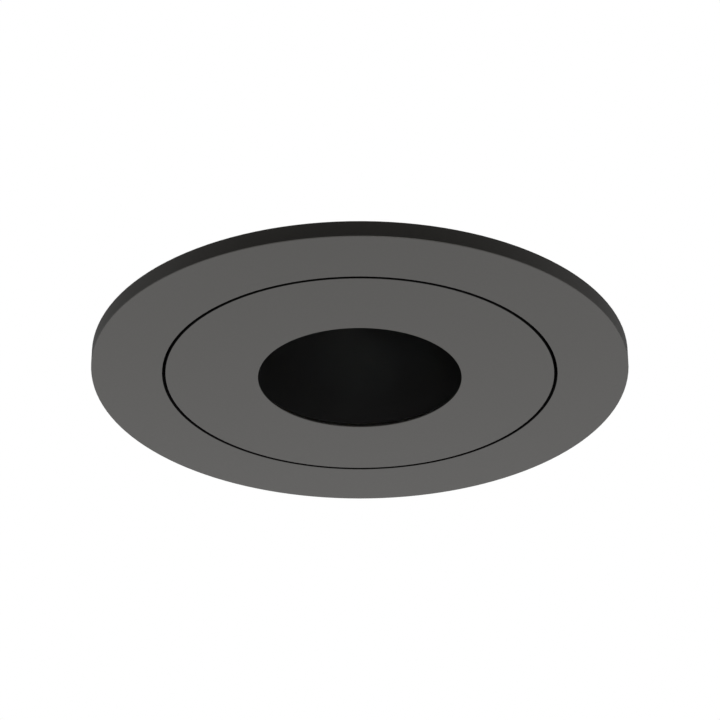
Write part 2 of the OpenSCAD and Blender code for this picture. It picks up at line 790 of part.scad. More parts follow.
module heat_sink()
    color(c_alu)
    difference() {
        at_h(sink_h) {
            cylinder(r = sink_r, h = sink_base_t);
            cylinder(r = core_r, h = box_h - sink_h);
            translate([0, 0, sink_base_t + fin_h]) cylinder(r = sink_r, h = sink_plate_t);
            intersection() {
                cylinder(r = sink_r - edge_bevel, h = box_h - sink_h);
                around(fin_count, 0) translate([0, -fin_t / 2, 0]) cube([sink_r, fin_t, box_h - sink_h]);
            }
        }
        sink_screws_at() cylinder(r = m25[0] + thread_gap, h = top_flange_t + sink_base_t - cut);
        holder_screws_at() cylinder(r = m2[0] + thread_gap, h = holder_t + sink_base_t - cut + fit_gap);
        at_h(sink_h - cut) leads_at() cylinder(r = lead_r + fit_gap, h = box_h - sink_h + 2 * cut);
        at_h(box_h - sink_plate_t - cut) {
            pillars_at() cylinder(r = m25[0] + thread_gap, h = sink_plate_t + 2 * cut);
            standoffs_at() cylinder(r = m2[0] + thread_gap, h = sink_plate_t + 2 * cut);
        }
    }

module sink_screws() color(c_steel) sink_screws_at() screw(m25, top_flange_t + sink_base_t - cut - fit_gap);

// Lamp: the driver in the rear cap

module pillars_at() around(set_of_screws, pillar_ring_r, pillar_turn) children();

module standoffs_at() around(set_of_screws, standoff_ring_r, standoff_turn) children();

module cap_gasket() color(c_rubber) at_h(box_h) ring(cap_in_r + fit_gap, cap_r - fit_gap, cap_gasket_t);

module rear_cap() {
    shoulder = cap_wall * 0.8;
    color(c_plastic)
    difference() {
        union() {
            at_h(0) lathe([
                [cap_in_r, cap_h],
                [cap_r, cap_h],
                [cap_r, cap_top_h - shoulder],
                [cap_r - shoulder, cap_top_h],
                [0, cap_top_h],
                [0, cap_in_h],
                [cap_in_r, cap_in_h]]);
            at_h(box_h) pillars_at() cylinder(r = pillar_r, h = cap_in_h - box_h + cap_wall / 2);
        }
        at_h(box_h - cut) pillars_at() cylinder(r = m25[0] + clear_gap, h = cap_top_h);
        at_h(cap_top_h - cap_head_depth) pillars_at()
            cylinder(r = m25[1] + fit_gap, h = cap_head_depth + cut);
        at_h(cap_in_h - cut) cylinder(r = gland_r + fit_gap, h = cap_wall + 2 * cut);
    }
}

module cap_screws()
    color(c_steel) at_h(cap_top_h - cap_head_depth) pillars_at() mirror([0, 0, 1])
        screw(m25, cap_top_h - cap_head_depth - box_h + sink_plate_t - fit_gap);

module board_standoffs()
    color(c_nylon) at_h(box_h) standoffs_at() ring(m2[0] + fit_gap, standoff_r, standoff_h);

module driver_board()
    color("#2f5d3a") at_h(board_h)
    difference() {
        cylinder(r = board_r, h = board_t);
        translate([0, 0, -cut]) {
            pillars_at() cylinder(r = pillar_r + run_gap, h = board_t + 2 * cut);
            standoffs_at() cylinder(r = m2[0] + clear_gap, h = board_t + 2 * cut);
        }
    }

module board_screws()
    color(c_steel) at_h(board_top_h) standoffs_at() mirror([0, 0, 1])
        screw(m2, board_t + standoff_h + sink_plate_t - fit_gap);

// Stands a piece on the driver board
module on_board(x, y) at_h(board_top_h) translate([x, y, 0]) children();

module driver_transformer() {
    size = transformer_size;
    core_t = 2.5;
    winding_inset = 0.8;
    winding_size = [size[0] - 2 * winding_inset, size[1] - 2 * winding_inset, size[2]];
    color("#c9a53b") on_board(transformer_x, 0) {
        for (z = [0, size[2] - core_t])
            translate([-size[0] / 2, -size[1] / 2, z]) cube([size[0], size[1], core_t]);
        translate([-winding_size[0] / 2, -winding_size[1] / 2, 0]) cube(winding_size);
    }
}

module driver_capacitor() {
    groove_r = capacitor_r - 0.3;
    groove_low = 1;
    groove_high = 1.6;
    color("#26323f") on_board(capacitor_x, -capacitor_l / 2)
        translate([0, 0, capacitor_r]) rotate([-90, 0, 0]) lathe([
            [0, 0],
            [capacitor_r, 0],
            [capacitor_r, groove_low],
            [groove_r, groove_low],
            [groove_r, groove_high],
            [capacitor_r, groove_high],
            [capacitor_r, capacitor_l],
            [0, capacitor_l]]);
}

module driver_choke() {
    end_t = 1.2;
    winding_r = choke_r - 0.7;
    color("#3a3a3a") on_board(choke_x, choke_y) {
        for (z = [0, choke_h - end_t]) translate([0, 0, z]) cylinder(r = choke_r, h = end_t);
        cylinder(r = winding_r, h = choke_h);
    }
}

// The three ways of the terminal block, at its top
module terminals_at()
    for (i = [-1 : 1])
        on_board(i * terminal_pitch, terminal_y) translate([0, 0, terminal_size[2]]) children();

module terminal_block()
    color("#cfcabc")
    difference() {
        on_board(-terminal_size[0] / 2, terminal_y - terminal_size[1] / 2) cube(terminal_size);
        terminals_at() {
            translate([0, 0, -terminal_sink])
                cylinder(r = terminal_screw_r + fit_gap, h = terminal_sink + cut);
            translate([0, 0, -terminal_bore_depth]) rotate([90, 0, 0])
                cylinder(r = terminal_bore_r, h = terminal_size[1]);
        }
    }

module terminal_screws() {
    slot_w = 0.5;
    slot_depth = 0.5;
    color(c_steel) terminals_at() translate([0, 0, -terminal_sink])
    difference() {
        cylinder(r = terminal_screw_r, h = terminal_screw_l);
        translate([-terminal_screw_r, -slot_w / 2, terminal_screw_l - slot_depth])
            cube([2 * terminal_screw_r, slot_w, slot_depth + cut]);
    }
}

// Lamp: the cable gland

module hexagon(height) cylinder(r = gland_hex_r, h = height, $fn = 6);

module gland_body()
    color(c_plastic)
    difference() {
        union() {
            at_h(stub_h) cylinder(r = gland_r, h = gland_seat_h - stub_h);
            at_h(gland_seat_h) hexagon(gland_hex_t);
            at_h(gland_hex_h) cylinder(r = gland_r, h = gland_thread_l);
        }
        at_h(stub_h - cut) cylinder(r = cable_room_r, h = gland_hex_h - stub_h);
        at_h(seal_h) cylinder(r = seal_r + fit_gap, h = nut_l);
    }

module gland_gasket()
    color(c_rubber) at_h(cap_top_h)
        ring(gland_r + fit_gap, gland_r + fit_gap + gland_gasket_w, gland_gasket_t);

module gland_locknut()
    color(c_plastic) at_h(cap_in_h - locknut_t)
    difference() {
        hexagon(locknut_t);
        translate([0, 0, -cut]) cylinder(r = gland_r + thread_gap, h = locknut_t + 2 * cut);
    }

module gland_seal() color(c_rubber) at_h(seal_h) ring(cable_r, seal_r, seal_l);

module gland_nut() {
    hex_l = nut_l - nut_crown;
    thread_room_h = gland_hex_h + gland_thread_l + run_gap - nut_h;
    seal_room_h = seal_h + seal_l + fit_gap - nut_h;
    color(c_plastic) at_h(nut_h)
    difference() {
        union() {
            hexagon(hex_l);
            translate([0, 0, hex_l]) cylinder(r1 = gland_af / 2 - fit_gap, r2 = seal_r + 1, h = nut_crown);
        }
        translate([0, 0, -cut]) cylinder(r = gland_r + thread_gap, h = thread_room_h + cut);
        cylinder(r = seal_r + fit_gap, h = seal_room_h);
        cylinder(r = cable_room_r, h = nut_l + cut);
    }
}

trim_flange();
collar();
collar_screws();
flange_gasket();
retaining_ring();
pan_stop_pin();
clip_bracket("left");  // clip_bracket_left
clip_bracket("right");  // clip_bracket_right
bracket_rivets();
clip_pin("left");  // clip_pin_left
clip_pin("right");  // clip_pin_right
torsion_spring("left");  // torsion_spring_left
torsion_spring("right");  // torsion_spring_right
clip_blade("left");  // clip_blade_left
clip_blade("right");  // clip_blade_right
clip_sleeve("left");  // clip_sleeve_left
clip_sleeve("right");  // clip_sleeve_right
carrier_ring();
friction_ring();
pivot_screws();
pivot_washers();
tilt_lock_screw();
insert_plate();
baffle_barrel();
barrel_screws();
lens_gasket();
lens();
reflector();
led_holder();
holder_screws();
led_board();
led_phosphor();
thermal_pad();
heat_sink();
sink_screws();
led_leads();
cap_gasket();
rear_cap();
cap_screws();
board_standoffs();
driver_board();
board_screws();
driver_transformer();
driver_capacitor();
driver_choke();
terminal_block();
terminal_screws();
gland_body();
gland_gasket();
gland_locknut();
gland_seal();
gland_nut();
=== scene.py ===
import json
import math

import bmesh
import bpy
from bpy.props import FloatProperty, FloatVectorProperty, IntProperty, PointerProperty
from mathutils import Matrix, Vector


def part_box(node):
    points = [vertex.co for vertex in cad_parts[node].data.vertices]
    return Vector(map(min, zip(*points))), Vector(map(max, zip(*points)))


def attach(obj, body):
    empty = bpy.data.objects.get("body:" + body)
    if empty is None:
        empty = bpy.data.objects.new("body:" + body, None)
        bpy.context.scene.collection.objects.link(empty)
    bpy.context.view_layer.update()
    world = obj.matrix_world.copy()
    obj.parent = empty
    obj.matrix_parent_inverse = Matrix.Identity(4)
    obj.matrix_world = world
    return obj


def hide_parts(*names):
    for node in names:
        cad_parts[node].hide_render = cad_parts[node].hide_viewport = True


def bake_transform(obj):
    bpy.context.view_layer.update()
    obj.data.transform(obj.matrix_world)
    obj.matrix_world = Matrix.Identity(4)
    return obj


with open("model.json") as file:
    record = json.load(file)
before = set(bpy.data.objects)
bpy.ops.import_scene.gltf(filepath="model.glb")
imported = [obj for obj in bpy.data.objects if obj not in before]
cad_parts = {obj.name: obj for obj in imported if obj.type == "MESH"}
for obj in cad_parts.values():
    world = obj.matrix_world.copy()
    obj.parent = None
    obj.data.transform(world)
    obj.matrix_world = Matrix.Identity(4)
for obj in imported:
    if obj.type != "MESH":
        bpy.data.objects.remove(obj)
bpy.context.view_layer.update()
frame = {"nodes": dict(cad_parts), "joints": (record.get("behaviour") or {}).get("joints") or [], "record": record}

bl_info = {
    "name": "Soffit Downlight",
    "version": (1, 0, 0),
    "blender": (4, 5, 0),
    "location": "View3D > Sidebar > Downlight",
    "description": "Dresses a recessed soffit downlight: its trim, lamp, spring clips and stage",
    "category": "Object",
}

MM = 0.001
RECORD = frame["record"]
SLOT_OF = {subpart["node"]: subpart["material_slot"] for subpart in RECORD["subparts"]}
BODY_OF = {node: body for body, nodes in RECORD["behaviour"]["bodies"].items() for node in nodes}
PIVOT_OF = {joint["name"]: Vector(joint["pos_m"]) for joint in frame["joints"]}


def low(node):
    """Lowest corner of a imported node."""
    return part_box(node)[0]


def high(node):
    """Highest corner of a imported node."""
    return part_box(node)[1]


SEAM_WIDTH = 0.5 * MM
# Radius of the seam's middle
SEAM_R = high("insert_plate").x + SEAM_WIDTH / 2
# What is this close to a height or a reach lies on it
NEAR = 0.1 * MM
# A direction with this share along an axis runs along it
ALONG = 0.9
# Points closer than the first are merged, and what is thinner than the second melts away
MERGE, SLIVER = 0.002 * MM, 0.001 * MM
# Turns between faces: under the first they are merged, under the second shaded as one, and over the third
# their edge is rounded
FLAT_WITHIN, SMOOTH_WITHIN, SHARP_OVER = math.radians(0.5), math.radians(35), math.radians(30)
# An edge that is picked can be rounded over this turn, in this many steps
CORNER_OVER, CORNER_STEPS = math.radians(20), 4


def linear(code):
    """Linear colour of an sRGB hex code."""
    channels = [int(code[i:i + 2], 16) / 255 for i in (1, 3, 5)]
    return [c / 12.92 if c <= 0.04045 else ((c + 0.055) / 1.055) ** 2.4 for c in channels]


# Sizes and colours that a user would change


def tone(name, where, code):
    """A colour that a finish is made from."""
    return FloatVectorProperty(
        name=name, description="Colour of " + where, subtype="COLOR", size=3, min=0, max=1,
        default=linear(code))


def millimetres(name, description, size):
    """A length, given in millimetres."""
    return FloatProperty(
        name=name, description=description, default=size * MM, min=0, unit="LENGTH", precision=5)


def metres(name, description, size, least):
    """A length, given in metres."""
    return FloatProperty(name=name, description=description, default=size, min=least, unit="LENGTH")


class DownlightFinishes(bpy.types.PropertyGroup):
    black_powder_coat: tone("Powder coat", "the trim flange, its collar and the insert", "#252422")
    black_anodised: tone("Black anodising", "the barrel and the carrier ring", "#272727")
    optical_black: tone("Optical black", "the barrel's inside", "#1B1B1B")
    # Painted shade: a near-black for the seam and the ring behind it
    recess_black: tone("Flat black", "the seam and the ring behind it", "#0A0A0A")
    black_rubber: tone("Rubber", "the gaskets, sleeves and seals", "#1B1B1A")
    spring_steel: tone("Spring steel", "the blades, springs and snap ring", "#BCBDBF")
    zinc_plate: tone("Zinc plating", "the clip brackets", "#B0B3B4")
    stainless: tone("Stainless steel", "the pins, rivets and screws", "#B1B1B0")
    natural_nylon: tone("Nylon", "the washers and standoffs", "#D4CEBE")
    silicone: tone("Silicone", "the lens gasket", "#D2D2CC")
    frosted_glass: tone("Frosted glass", "the lens", "#EFF4F3")
    bright_reflector: tone("Reflector", "the reflector", "#D5D6D7")
    white_plastic: tone("White PBT", "the light source's holder", "#E2E0D9")
    ceramic: tone("Alumina", "the light source's board", "#DEDED8")
    phosphor: tone("Phosphor", "the lit disc", "#D5A224")
    graphite: tone("Graphite", "the thermal pad", "#3F3F41")
    die_cast_aluminium: tone("Anodised aluminium", "the heat sink", "#ACAEB0")
    black_polyamide: tone("Black polyamide", "the rear cap and the cable gland", "#202122")
    circuit_board: tone("Solder resist", "the driver board", "#1C5231")
    winding_tape: tone("Winding tape", "the transformer", "#C79832")
    capacitor_sleeve: tone("Vinyl sleeve", "the capacitor", "#1F2C38")
    ferrite: tone("Ferrite", "the choke", "#323232")
    terminal_plastic: tone("Grey polyamide", "the terminal block", "#BEB9AA")
    lead_insulation: tone("Lead insulation", "the light source's leads", "#A62F27")


class DownlightEdges(bpy.types.PropertyGroup):
    crisp: millimetres("Crisp edge", "Radius of a coated or machined edge", 0.05)
    pressed: millimetres("Pressed edge", "Radius of an edge of pressed sheet or of a small part", 0.1)
    can: millimetres("Can's edge", "Radius of the rim of the capacitor's can", 0.15)
    gasket: millimetres("Gasket's edge", "Radius of an edge of the flange gasket", 0.2)
    moulded: millimetres("Moulded edge", "Radius of an edge of the gland's nut and seal", 0.25)
    cast: millimetres("Cast edge", "Radius of an edge of the heat sink", 0.4)
    shoulder: millimetres("Cap's shoulder", "Radius of the rear cap's shoulder", 2.2)


class DownlightClips(bpy.types.PropertyGroup):
    wire: millimetres("Wire", "Diameter of the spring wire", 0.6)
    coil: millimetres("Coil radius", "Radius of the torsion spring, to the middle of its wire", 1.4)
    pitch: millimetres("Pitch", "Rise from curl to curl", 1.05)
    curls: IntProperty(name="Curls", description="Whole curls of a torsion spring", default=6, min=1)
    bracket_leg: millimetres("Bracket leg", "Length of the spring's leg along the bracket", 4.2)
    blade_leg: millimetres("Blade leg", "Length of the spring's leg along the blade", 7.0)
    drop: FloatProperty(
        name="Drop", description="Angle at which a free blade slopes down", default=math.radians(12),
        unit="ROTATION")
    bead: millimetres("Bead", "Height of the bead pressed into a blade", 0.45)
    sleeve_ribs: IntProperty(name="Sleeve ribs", description="Grip ribs of a rubber sleeve", default=4, min=0)


class DownlightLamp(bpy.types.PropertyGroup):
    fins: IntProperty(name="Fins", description="Fins of the heat sink", default=20, min=3)
    fin_thickness: millimetres("Fin thickness", "Thickness of a fin", 1.3)
    fin_setback: millimetres("Fin set-back", "How far the fins stay behind the base's edge", 0.5)
    base: millimetres("Base", "Thickness of the heat sink's base", 4.0)
    plate: millimetres("Plate", "Thickness of the plate under the rear cap", 2.0)
    core: millimetres("Core", "Radius of the heat sink's core", 8.0)
    flutes: IntProperty(name="Flutes", description="Grip flutes round the rear cap", default=36, min=3)
    flute: millimetres("Flute", "Radius of a grip flute", 0.6)


class DownlightStage(bpy.types.PropertyGroup):
    floor_drop: metres("Floor", "How far the floor lies below the seat", 2.4, 0.2)
    floor_radius: metres("Floor radius", "Radius of the floor", 16.0, 1.0)
    floor_colour: tone("Floor colour", "the floor", "#EDEDEB")
    soffit_radius: metres("Soffit radius", "Radius of the soffit's underside", 0.6, 0.1)
    cutout_radius: metres("Cut-out", "Radius of the soffit's cut-out", 46 * MM, 0.0)
    camera_distance: metres("Camera distance", "From the middle of the face to the camera", 0.48568, 0.1)
    camera_drop: FloatProperty(
        name="Camera angle", description="Angle from which the camera looks up at the face",
        default=math.radians(29.093), unit="ROTATION")
    lens: FloatProperty(name="Lens", description="Focal length of the camera", default=130.05, unit="CAMERA")


# Materials


def add(tree, kind, settings=None, inputs=None):
    """Adds a node with its settings, and gives each input a value or a link."""
    node = tree.nodes.new(kind)
    for name, value in (settings or {}).items():
        setattr(node, name, value)
    for name, value in (inputs or {}).items():
        if isinstance(value, bpy.types.NodeSocket):
            tree.links.new(value, node.inputs[name])
        else:
            node.inputs[name].default_value = value
    return node


def new_material(name):
    """A material and its tree, with nothing in it yet."""
    material = bpy.data.materials.new(name)
    material.use_nodes = True
    material.node_tree.nodes.clear()
    return material, material.node_tree


def shade(colour, share):
    """A colour made lighter or darker by a share, with full alpha."""
    return (*(min(1.0, channel * share) for channel in colour), 1.0)


# Sockets of a Mix node that mixes colours
MIX_A, MIX_B, MIX_RESULT = 6, 7, 2
# Grains across a cloud of tone
CLOUD_GRAINS = 12


def grained(colour, name, spread, rough, grain, relief, stretch=(1, 1, 1), metallic=0.0, shine=0.0,
            inputs=None):
    """A surface with two close tones, an uneven shine and a fine relief.

    spread is how far the tones lie from the colour either way, grain the grain's size and relief its
    height in millimetres, stretch how it lies along X, Y and Z, shine how far the roughness wanders,
    and inputs what else the shader is given."""
    material, tree = new_material(name)
    shader = add(tree, "ShaderNodeBsdfPrincipled", inputs={
        "Metallic": metallic, "Roughness": rough, **(inputs or {})})
    add(tree, "ShaderNodeOutputMaterial", inputs={"Surface": shader.outputs["BSDF"]})
    place = add(tree, "ShaderNodeTexCoord").outputs["Object"]
    place = add(tree, "ShaderNodeMapping", inputs={"Vector": place, "Scale": stretch}).outputs["Vector"]
    grains = add(tree, "ShaderNodeTexNoise", inputs={
        "Vector": place, "Scale": 1 / (grain * MM), "Detail": 3.0, "Roughness": 0.55})
    clouds = add(tree, "ShaderNodeTexNoise", inputs={
        "Vector": place, "Scale": 1 / (CLOUD_GRAINS * grain * MM), "Detail": 2.0, "Roughness": 0.5})
    tones = add(tree, "ShaderNodeMix", {"data_type": "RGBA"}, {
        "Factor": clouds.outputs["Fac"], MIX_A: shade(colour, 1 - spread), MIX_B: shade(colour, 1 + spread)})
    tree.links.new(tones.outputs[MIX_RESULT], shader.inputs["Base Color"])
    if shine:
        uneven = add(tree, "ShaderNodeMapRange", inputs={
            "Value": grains.outputs["Fac"], "From Min": 0.3, "From Max": 0.7,
            "To Min": rough - shine, "To Max": rough + shine})
        tree.links.new(uneven.outputs["Result"], shader.inputs["Roughness"])
    bump = add(tree, "ShaderNodeBump", inputs={
        "Height": grains.outputs["Fac"], "Distance": relief * MM, "Strength": 1.0})
    tree.links.new(bump.outputs["Normal"], shader.inputs["Normal"])
    return material


# The finish of each of the record's material slots, the paint of the barrel's inside, and the painted shade of the
# seam
FINISHES = {
    # Black polyester powder coat, cured to a satin film: faint orange peel
    "black_powder_coat": dict(
        name="black_powder_coat", spread=0.03, rough=0.38, grain=0.5, relief=0.0015, shine=0.02,
        inputs={"IOR": 1.65, "Specular Tint": (1.0, 0.975, 0.94, 1.0)}),
    # Black anodised aluminium, blasted first: matt, with a soft sheen
    "black_anodised": dict(
        name="matt_black_anodising", spread=0.08, rough=0.5, grain=0.15, relief=0.002, shine=0.05),
    # Optical black paint: deep, with a soft sheen where it faces the light
    "optical_black": dict(
        name="optical_black_paint", spread=0.04, rough=0.36, grain=0.15, relief=0.002, shine=0.05),
    # Painted shade for the seam and the faces behind it: a flat near-black without gloss
    "recess_black": dict(
        name="flat_black_paint", spread=0.1, rough=0.95, grain=0.3, relief=0.002,
        inputs={"Specular IOR Level": 0.05}),
    # Black EPDM rubber, moulded: matt, with a little bloom
    "black_rubber": dict(
        name="black_epdm_rubber", spread=0.2, rough=0.78, grain=0.3, relief=0.01, shine=0.06),
    # Stainless spring steel, cold rolled: fine lines along the strip
    "spring_steel": dict(
        name="rolled_spring_steel", spread=0.06, rough=0.26, grain=0.12, relief=0.0015,
        stretch=(0.04, 1, 1), metallic=1.0, shine=0.05),
    # Bright zinc plating on pressed steel: a cool grey with soft clouds
    "zinc_plate": dict(
        name="bright_zinc_plating", spread=0.14, rough=0.34, grain=0.35, relief=0.002,
        metallic=1.0, shine=0.06),
    # Stainless steel, turned: bright and finely ringed
    "stainless": dict(
        name="turned_stainless_steel", spread=0.1, rough=0.28, grain=0.1, relief=0.001,
        stretch=(1, 1, 0.2), metallic=1.0, shine=0.05),
    # Natural nylon, moulded: milky and slightly waxy
    "natural_nylon": dict(
        name="natural_nylon", spread=0.06, rough=0.4, grain=0.3, relief=0.003, inputs={
            "Subsurface Weight": 0.3, "Subsurface Radius": (0.002, 0.0018, 0.0014), "Subsurface Scale": 0.3}),
    # Translucent silicone rubber, moulded: milky, half matt
    "silicone": dict(
        name="translucent_silicone", spread=0.06, rough=0.45, grain=0.3, relief=0.003, inputs={
            "Subsurface Weight": 0.4, "Subsurface Radius": (0.002, 0.002, 0.002), "Subsurface Scale": 0.4}),
    # Tempered glass, acid-frosted: clear body with a soft blur
    "frosted_glass": dict(
        name="frosted_glass", spread=0.02, rough=0.38, grain=0.15, relief=0.002,
        inputs={"Transmission Weight": 1.0, "IOR": 1.52}),
    # Vacuum-metallised polycarbonate: a mirror with a faint moulded ripple
    "bright_reflector": dict(
        name="metallised_reflector", spread=0.04, rough=0.13, grain=1.2, relief=0.004,
        metallic=1.0, shine=0.03),
    # White PBT, moulded: smooth, half gloss
    "white_plastic": dict(name="white_pbt", spread=0.04, rough=0.38, grain=0.3, relief=0.003, shine=0.04),
    # White alumina, fired and ground: even and silky
    "ceramic": dict(name="white_alumina", spread=0.05, rough=0.3, grain=0.1, relief=0.002, shine=0.05),
    # Yellow phosphor in clear silicone: grainy under a smooth skin
    "phosphor": dict(
        name="phosphor_gel", spread=0.12, rough=0.2, grain=0.12, relief=0.002,
        inputs={"Coat Weight": 0.6, "Coat Roughness": 0.1}),
    # Pressed graphite sheet: dark grey with a slight sheen
    "graphite": dict(name="graphite_sheet", spread=0.25, rough=0.45, grain=0.2, relief=0.006, shine=0.08),
    # Die-cast aluminium, blasted and clear anodised: a fine even grain
    "die_cast_aluminium": dict(
        name="clear_anodised_aluminium", spread=0.09, rough=0.42, grain=0.25, relief=0.006,
        metallic=1.0, shine=0.06),
    # Black glass-filled polyamide, moulded in an eroded tool: matt, finely pitted
    "black_polyamide": dict(
        name="glass_filled_polyamide", spread=0.18, rough=0.52, grain=0.3, relief=0.02, shine=0.06),
    # Green solder resist over woven epoxy glass: glossy, with soft clouds
    "circuit_board": dict(
        name="green_solder_resist", spread=0.15, rough=0.3, grain=0.4, relief=0.004, shine=0.05),
    # Amber polyester tape, wound: glossy, a little wrinkled
    "winding_tape": dict(
        name="amber_winding_tape", spread=0.1, rough=0.25, grain=0.6, relief=0.006, shine=0.05),
    # Dark blue vinyl, shrunk on: smooth, with soft clouds
    "capacitor_sleeve": dict(
        name="shrunk_vinyl_sleeve", spread=0.18, rough=0.28, grain=0.8, relief=0.004, shine=0.04),
    # Sintered ferrite: charcoal and finely granular
    "ferrite": dict(name="sintered_ferrite", spread=0.25, rough=0.6, grain=0.12, relief=0.01, shine=0.08),
    # Grey polyamide, moulded: even, half matt
    "terminal_plastic": dict(
        name="grey_polyamide", spread=0.06, rough=0.42, grain=0.3, relief=0.004, shine=0.04),
    # Red silicone insulation: matt and soft
    "lead_insulation": dict(
        name="lead_silicone", spread=0.1, rough=0.5, grain=0.25, relief=0.004, shine=0.05),
}
made_finishes = {}


def finish(slot):
    """The material of a slot, made once."""
    if slot not in made_finishes:
        colour = getattr(bpy.context.scene.downlight_finishes, slot)
        made_finishes[slot] = grained(colour, **FINISHES[slot])
    return made_finishes[slot]


def dress(piece, slot):
    """Gives a piece the finish of a slot all over."""
    piece.data.materials.clear()
    piece.data.materials.append(finish(slot))


# Modelling by hand


def pick(*things):
    """Selects these objects alone, the first one active."""
    bpy.ops.object.select_all(action="DESELECT")
    for thing in things:
        thing.select_set(True)
    bpy.context.view_layer.objects.active = things[0]


def edit(piece, action="SELECT", kind="VERT"):
    """Opens a piece in edit mode with all of it selected, or nothing."""
    pick(piece)
    bpy.ops.object.mode_set(mode="EDIT")
    bpy.ops.mesh.select_mode(type=kind)
    bpy.ops.mesh.select_all(action=action)


def close():
    """Leaves edit mode."""
    bpy.ops.object.mode_set(mode="OBJECT")


def added(add_primitive, name, **where):
    """A new object, added at its size and place."""
    bpy.ops.object.select_all(action="DESELECT")
    add_primitive(**where)
    piece = bpy.context.object
    piece.name = name
    return piece


def apply(piece, kind, **settings):
    """Adds a modifier with its settings and applies it."""
    pick(piece)
    modifier = piece.modifiers.new(kind.lower(), kind)
    for name, value in settings.items():
        setattr(modifier, name, value)
    bpy.ops.object.modifier_apply(modifier=modifier.name)
    return piece


def cut_or_fuse(piece, tool, operation="DIFFERENCE"):
    """Cuts a closed tool out of a piece, or fuses it on, and melts the slivers that this leaves."""
    apply(piece, "BOOLEAN", operation=operation, object=tool, solver="EXACT")
    pick(tool)
    bpy.ops.object.delete()
    edit(piece)
    bpy.ops.mesh.remove_doubles(threshold=SLIVER)
    bpy.ops.mesh.dissolve_degenerate(threshold=SLIVER)
    close()


def turned_copy(piece, angle, name):
    """A copy of a piece with its own mesh, turned about the Z axis."""
    pick(piece)
    bpy.ops.object.duplicate()
    copy = bpy.context.object
    copy.name = name
    copy.data.transform(Matrix.Rotation(angle, 4, "Z"))
    return copy


def around(piece, count, turn=0.0):
    """A piece and its copies round the Z axis, as one object."""
    ring = [piece] + [turned_copy(piece, index * math.tau / count, piece.name) for index in range(1, count)]
    pick(*ring)
    bpy.ops.object.join()
    piece.data.transform(Matrix.Rotation(turn, 4, "Z"))
    return piece


def merged_copy(node):
    """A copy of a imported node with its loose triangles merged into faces."""
    piece = bpy.data.objects.new(node + "_finished", frame["nodes"][node].data.copy())
    bpy.context.collection.objects.link(piece)
    edit(piece)
    bpy.ops.mesh.customdata_custom_splitnormals_clear()
    bpy.ops.mesh.remove_doubles(threshold=MERGE)
    bpy.ops.mesh.dissolve_limited(angle_limit=FLAT_WITHIN)
    close()
    return piece


def round_edges(piece, radius, segments=2):
    """Rounds every sharp edge."""
    return apply(
        piece, "BEVEL", width=radius, segments=segments, limit_method="ANGLE", angle_limit=SHARP_OVER,
        use_clamp_overlap=True)


def round_these(piece, radius, wanted):
    """Rounds the sharp edges that wanted() picks by their middle and their direction."""
    edit(piece, "DESELECT", "EDGE")
    mesh = bmesh.from_edit_mesh(piece.data)
    for edge in mesh.edges:
        if len(edge.link_faces) == 2 and edge.calc_face_angle(0) > CORNER_OVER:
            start, end = (vertex.co for vertex in edge.verts)
            edge.select_set(bool(wanted((start + end) / 2, (end - start).normalized())))
    bmesh.update_edit_mesh(piece.data)
    bpy.ops.mesh.bevel(offset=radius, segments=CORNER_STEPS, affect="EDGES", clamp_overlap=False)
    close()


def smooth(piece):
    """Smooth shading that keeps flat faces flat."""
    pick(piece)
    bpy.ops.object.shade_smooth_by_angle(angle=SMOOTH_WITHIN)
    return apply(piece, "WEIGHTED_NORMAL", keep_sharp=True)


def stands_for(piece, node):
    """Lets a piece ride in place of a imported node, in its finish."""
    smooth(piece)
    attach(piece, BODY_OF[node])
    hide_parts(node)
    dress(piece, SLOT_OF[node])
    return piece


def rounded(corners, steps=4):
    """Points of an outline of (radius, height, rounding) corners, each corner an arc."""
    points = []
    for index, (x, z, rounding) in enumerate(corners):
        here = Vector((x, z))
        if not rounding:
            points.append(here)
            continue
        before = (Vector(corners[index - 1][:2]) - here).normalized()
        after = (Vector(corners[(index + 1) % len(corners)][:2]) - here).normalized()
        half = before.angle(after) / 2
        reach = rounding / math.tan(half)
        middle = here + (before + after).normalized() * rounding / math.sin(half)
        first, last = here + before * reach - middle, here + after * reach - middle
        sweep = first.angle_signed(last)
        for step in range(steps + 1):
            arm = first.copy()
            arm.rotate(Matrix.Rotation(-sweep * step / steps, 2))
            points.append(middle + arm)
    return points


def spun(name, outline, steps=144):
    """A closed solid: an outline of (radius, height) points spun about the Z axis.

    An outline that starts and ends on the axis stays open there, any other is closed."""
    piece = added(bpy.ops.mesh.primitive_plane_add, name, size=MM)
    edit(piece)
    bpy.ops.mesh.merge(type="CENTER")
    start = Vector((outline[0][0], 0, outline[0][1]))
    bpy.ops.transform.translate(value=start)
    for (x, z), (next_x, next_z) in zip(outline, outline[1:]):
        bpy.ops.mesh.extrude_vertices_move(TRANSFORM_OT_translate={"value": (next_x - x, 0, next_z - z)})
    if max(outline[0][0], outline[-1][0]) > 0:
        mesh = bmesh.from_edit_mesh(piece.data)
        mesh.verts.ensure_lookup_table()
        mesh.verts[0].select_set(True)
        bmesh.update_edit_mesh(piece.data)
        bpy.ops.mesh.edge_face_add()
    bpy.ops.mesh.select_all(action="SELECT")
    bpy.ops.mesh.spin(steps=steps, angle=math.tau, center=(0, 0, 0), axis=(0, 0, 1))
    bpy.ops.mesh.select_all(action="SELECT")
    bpy.ops.mesh.remove_doubles(threshold=MERGE)
    bpy.ops.mesh.dissolve_degenerate(threshold=SLIVER)
    bpy.ops.mesh.select_all(action="SELECT")
    bpy.ops.mesh.normals_make_consistent(inside=False)
    close()
    return piece


def finished(node, *details, edge="pressed"):
    """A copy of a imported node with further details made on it, then its edges rounded in their kind."""
    piece = merged_copy(node)
    for detail in details:
        detail(piece)
    return round_edges(piece, getattr(bpy.context.scene.downlight_edges, edge))


def softened(node, *details, edge="pressed"):
    """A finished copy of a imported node, in the node's place."""
    return stands_for(finished(node, *details, edge=edge), node)


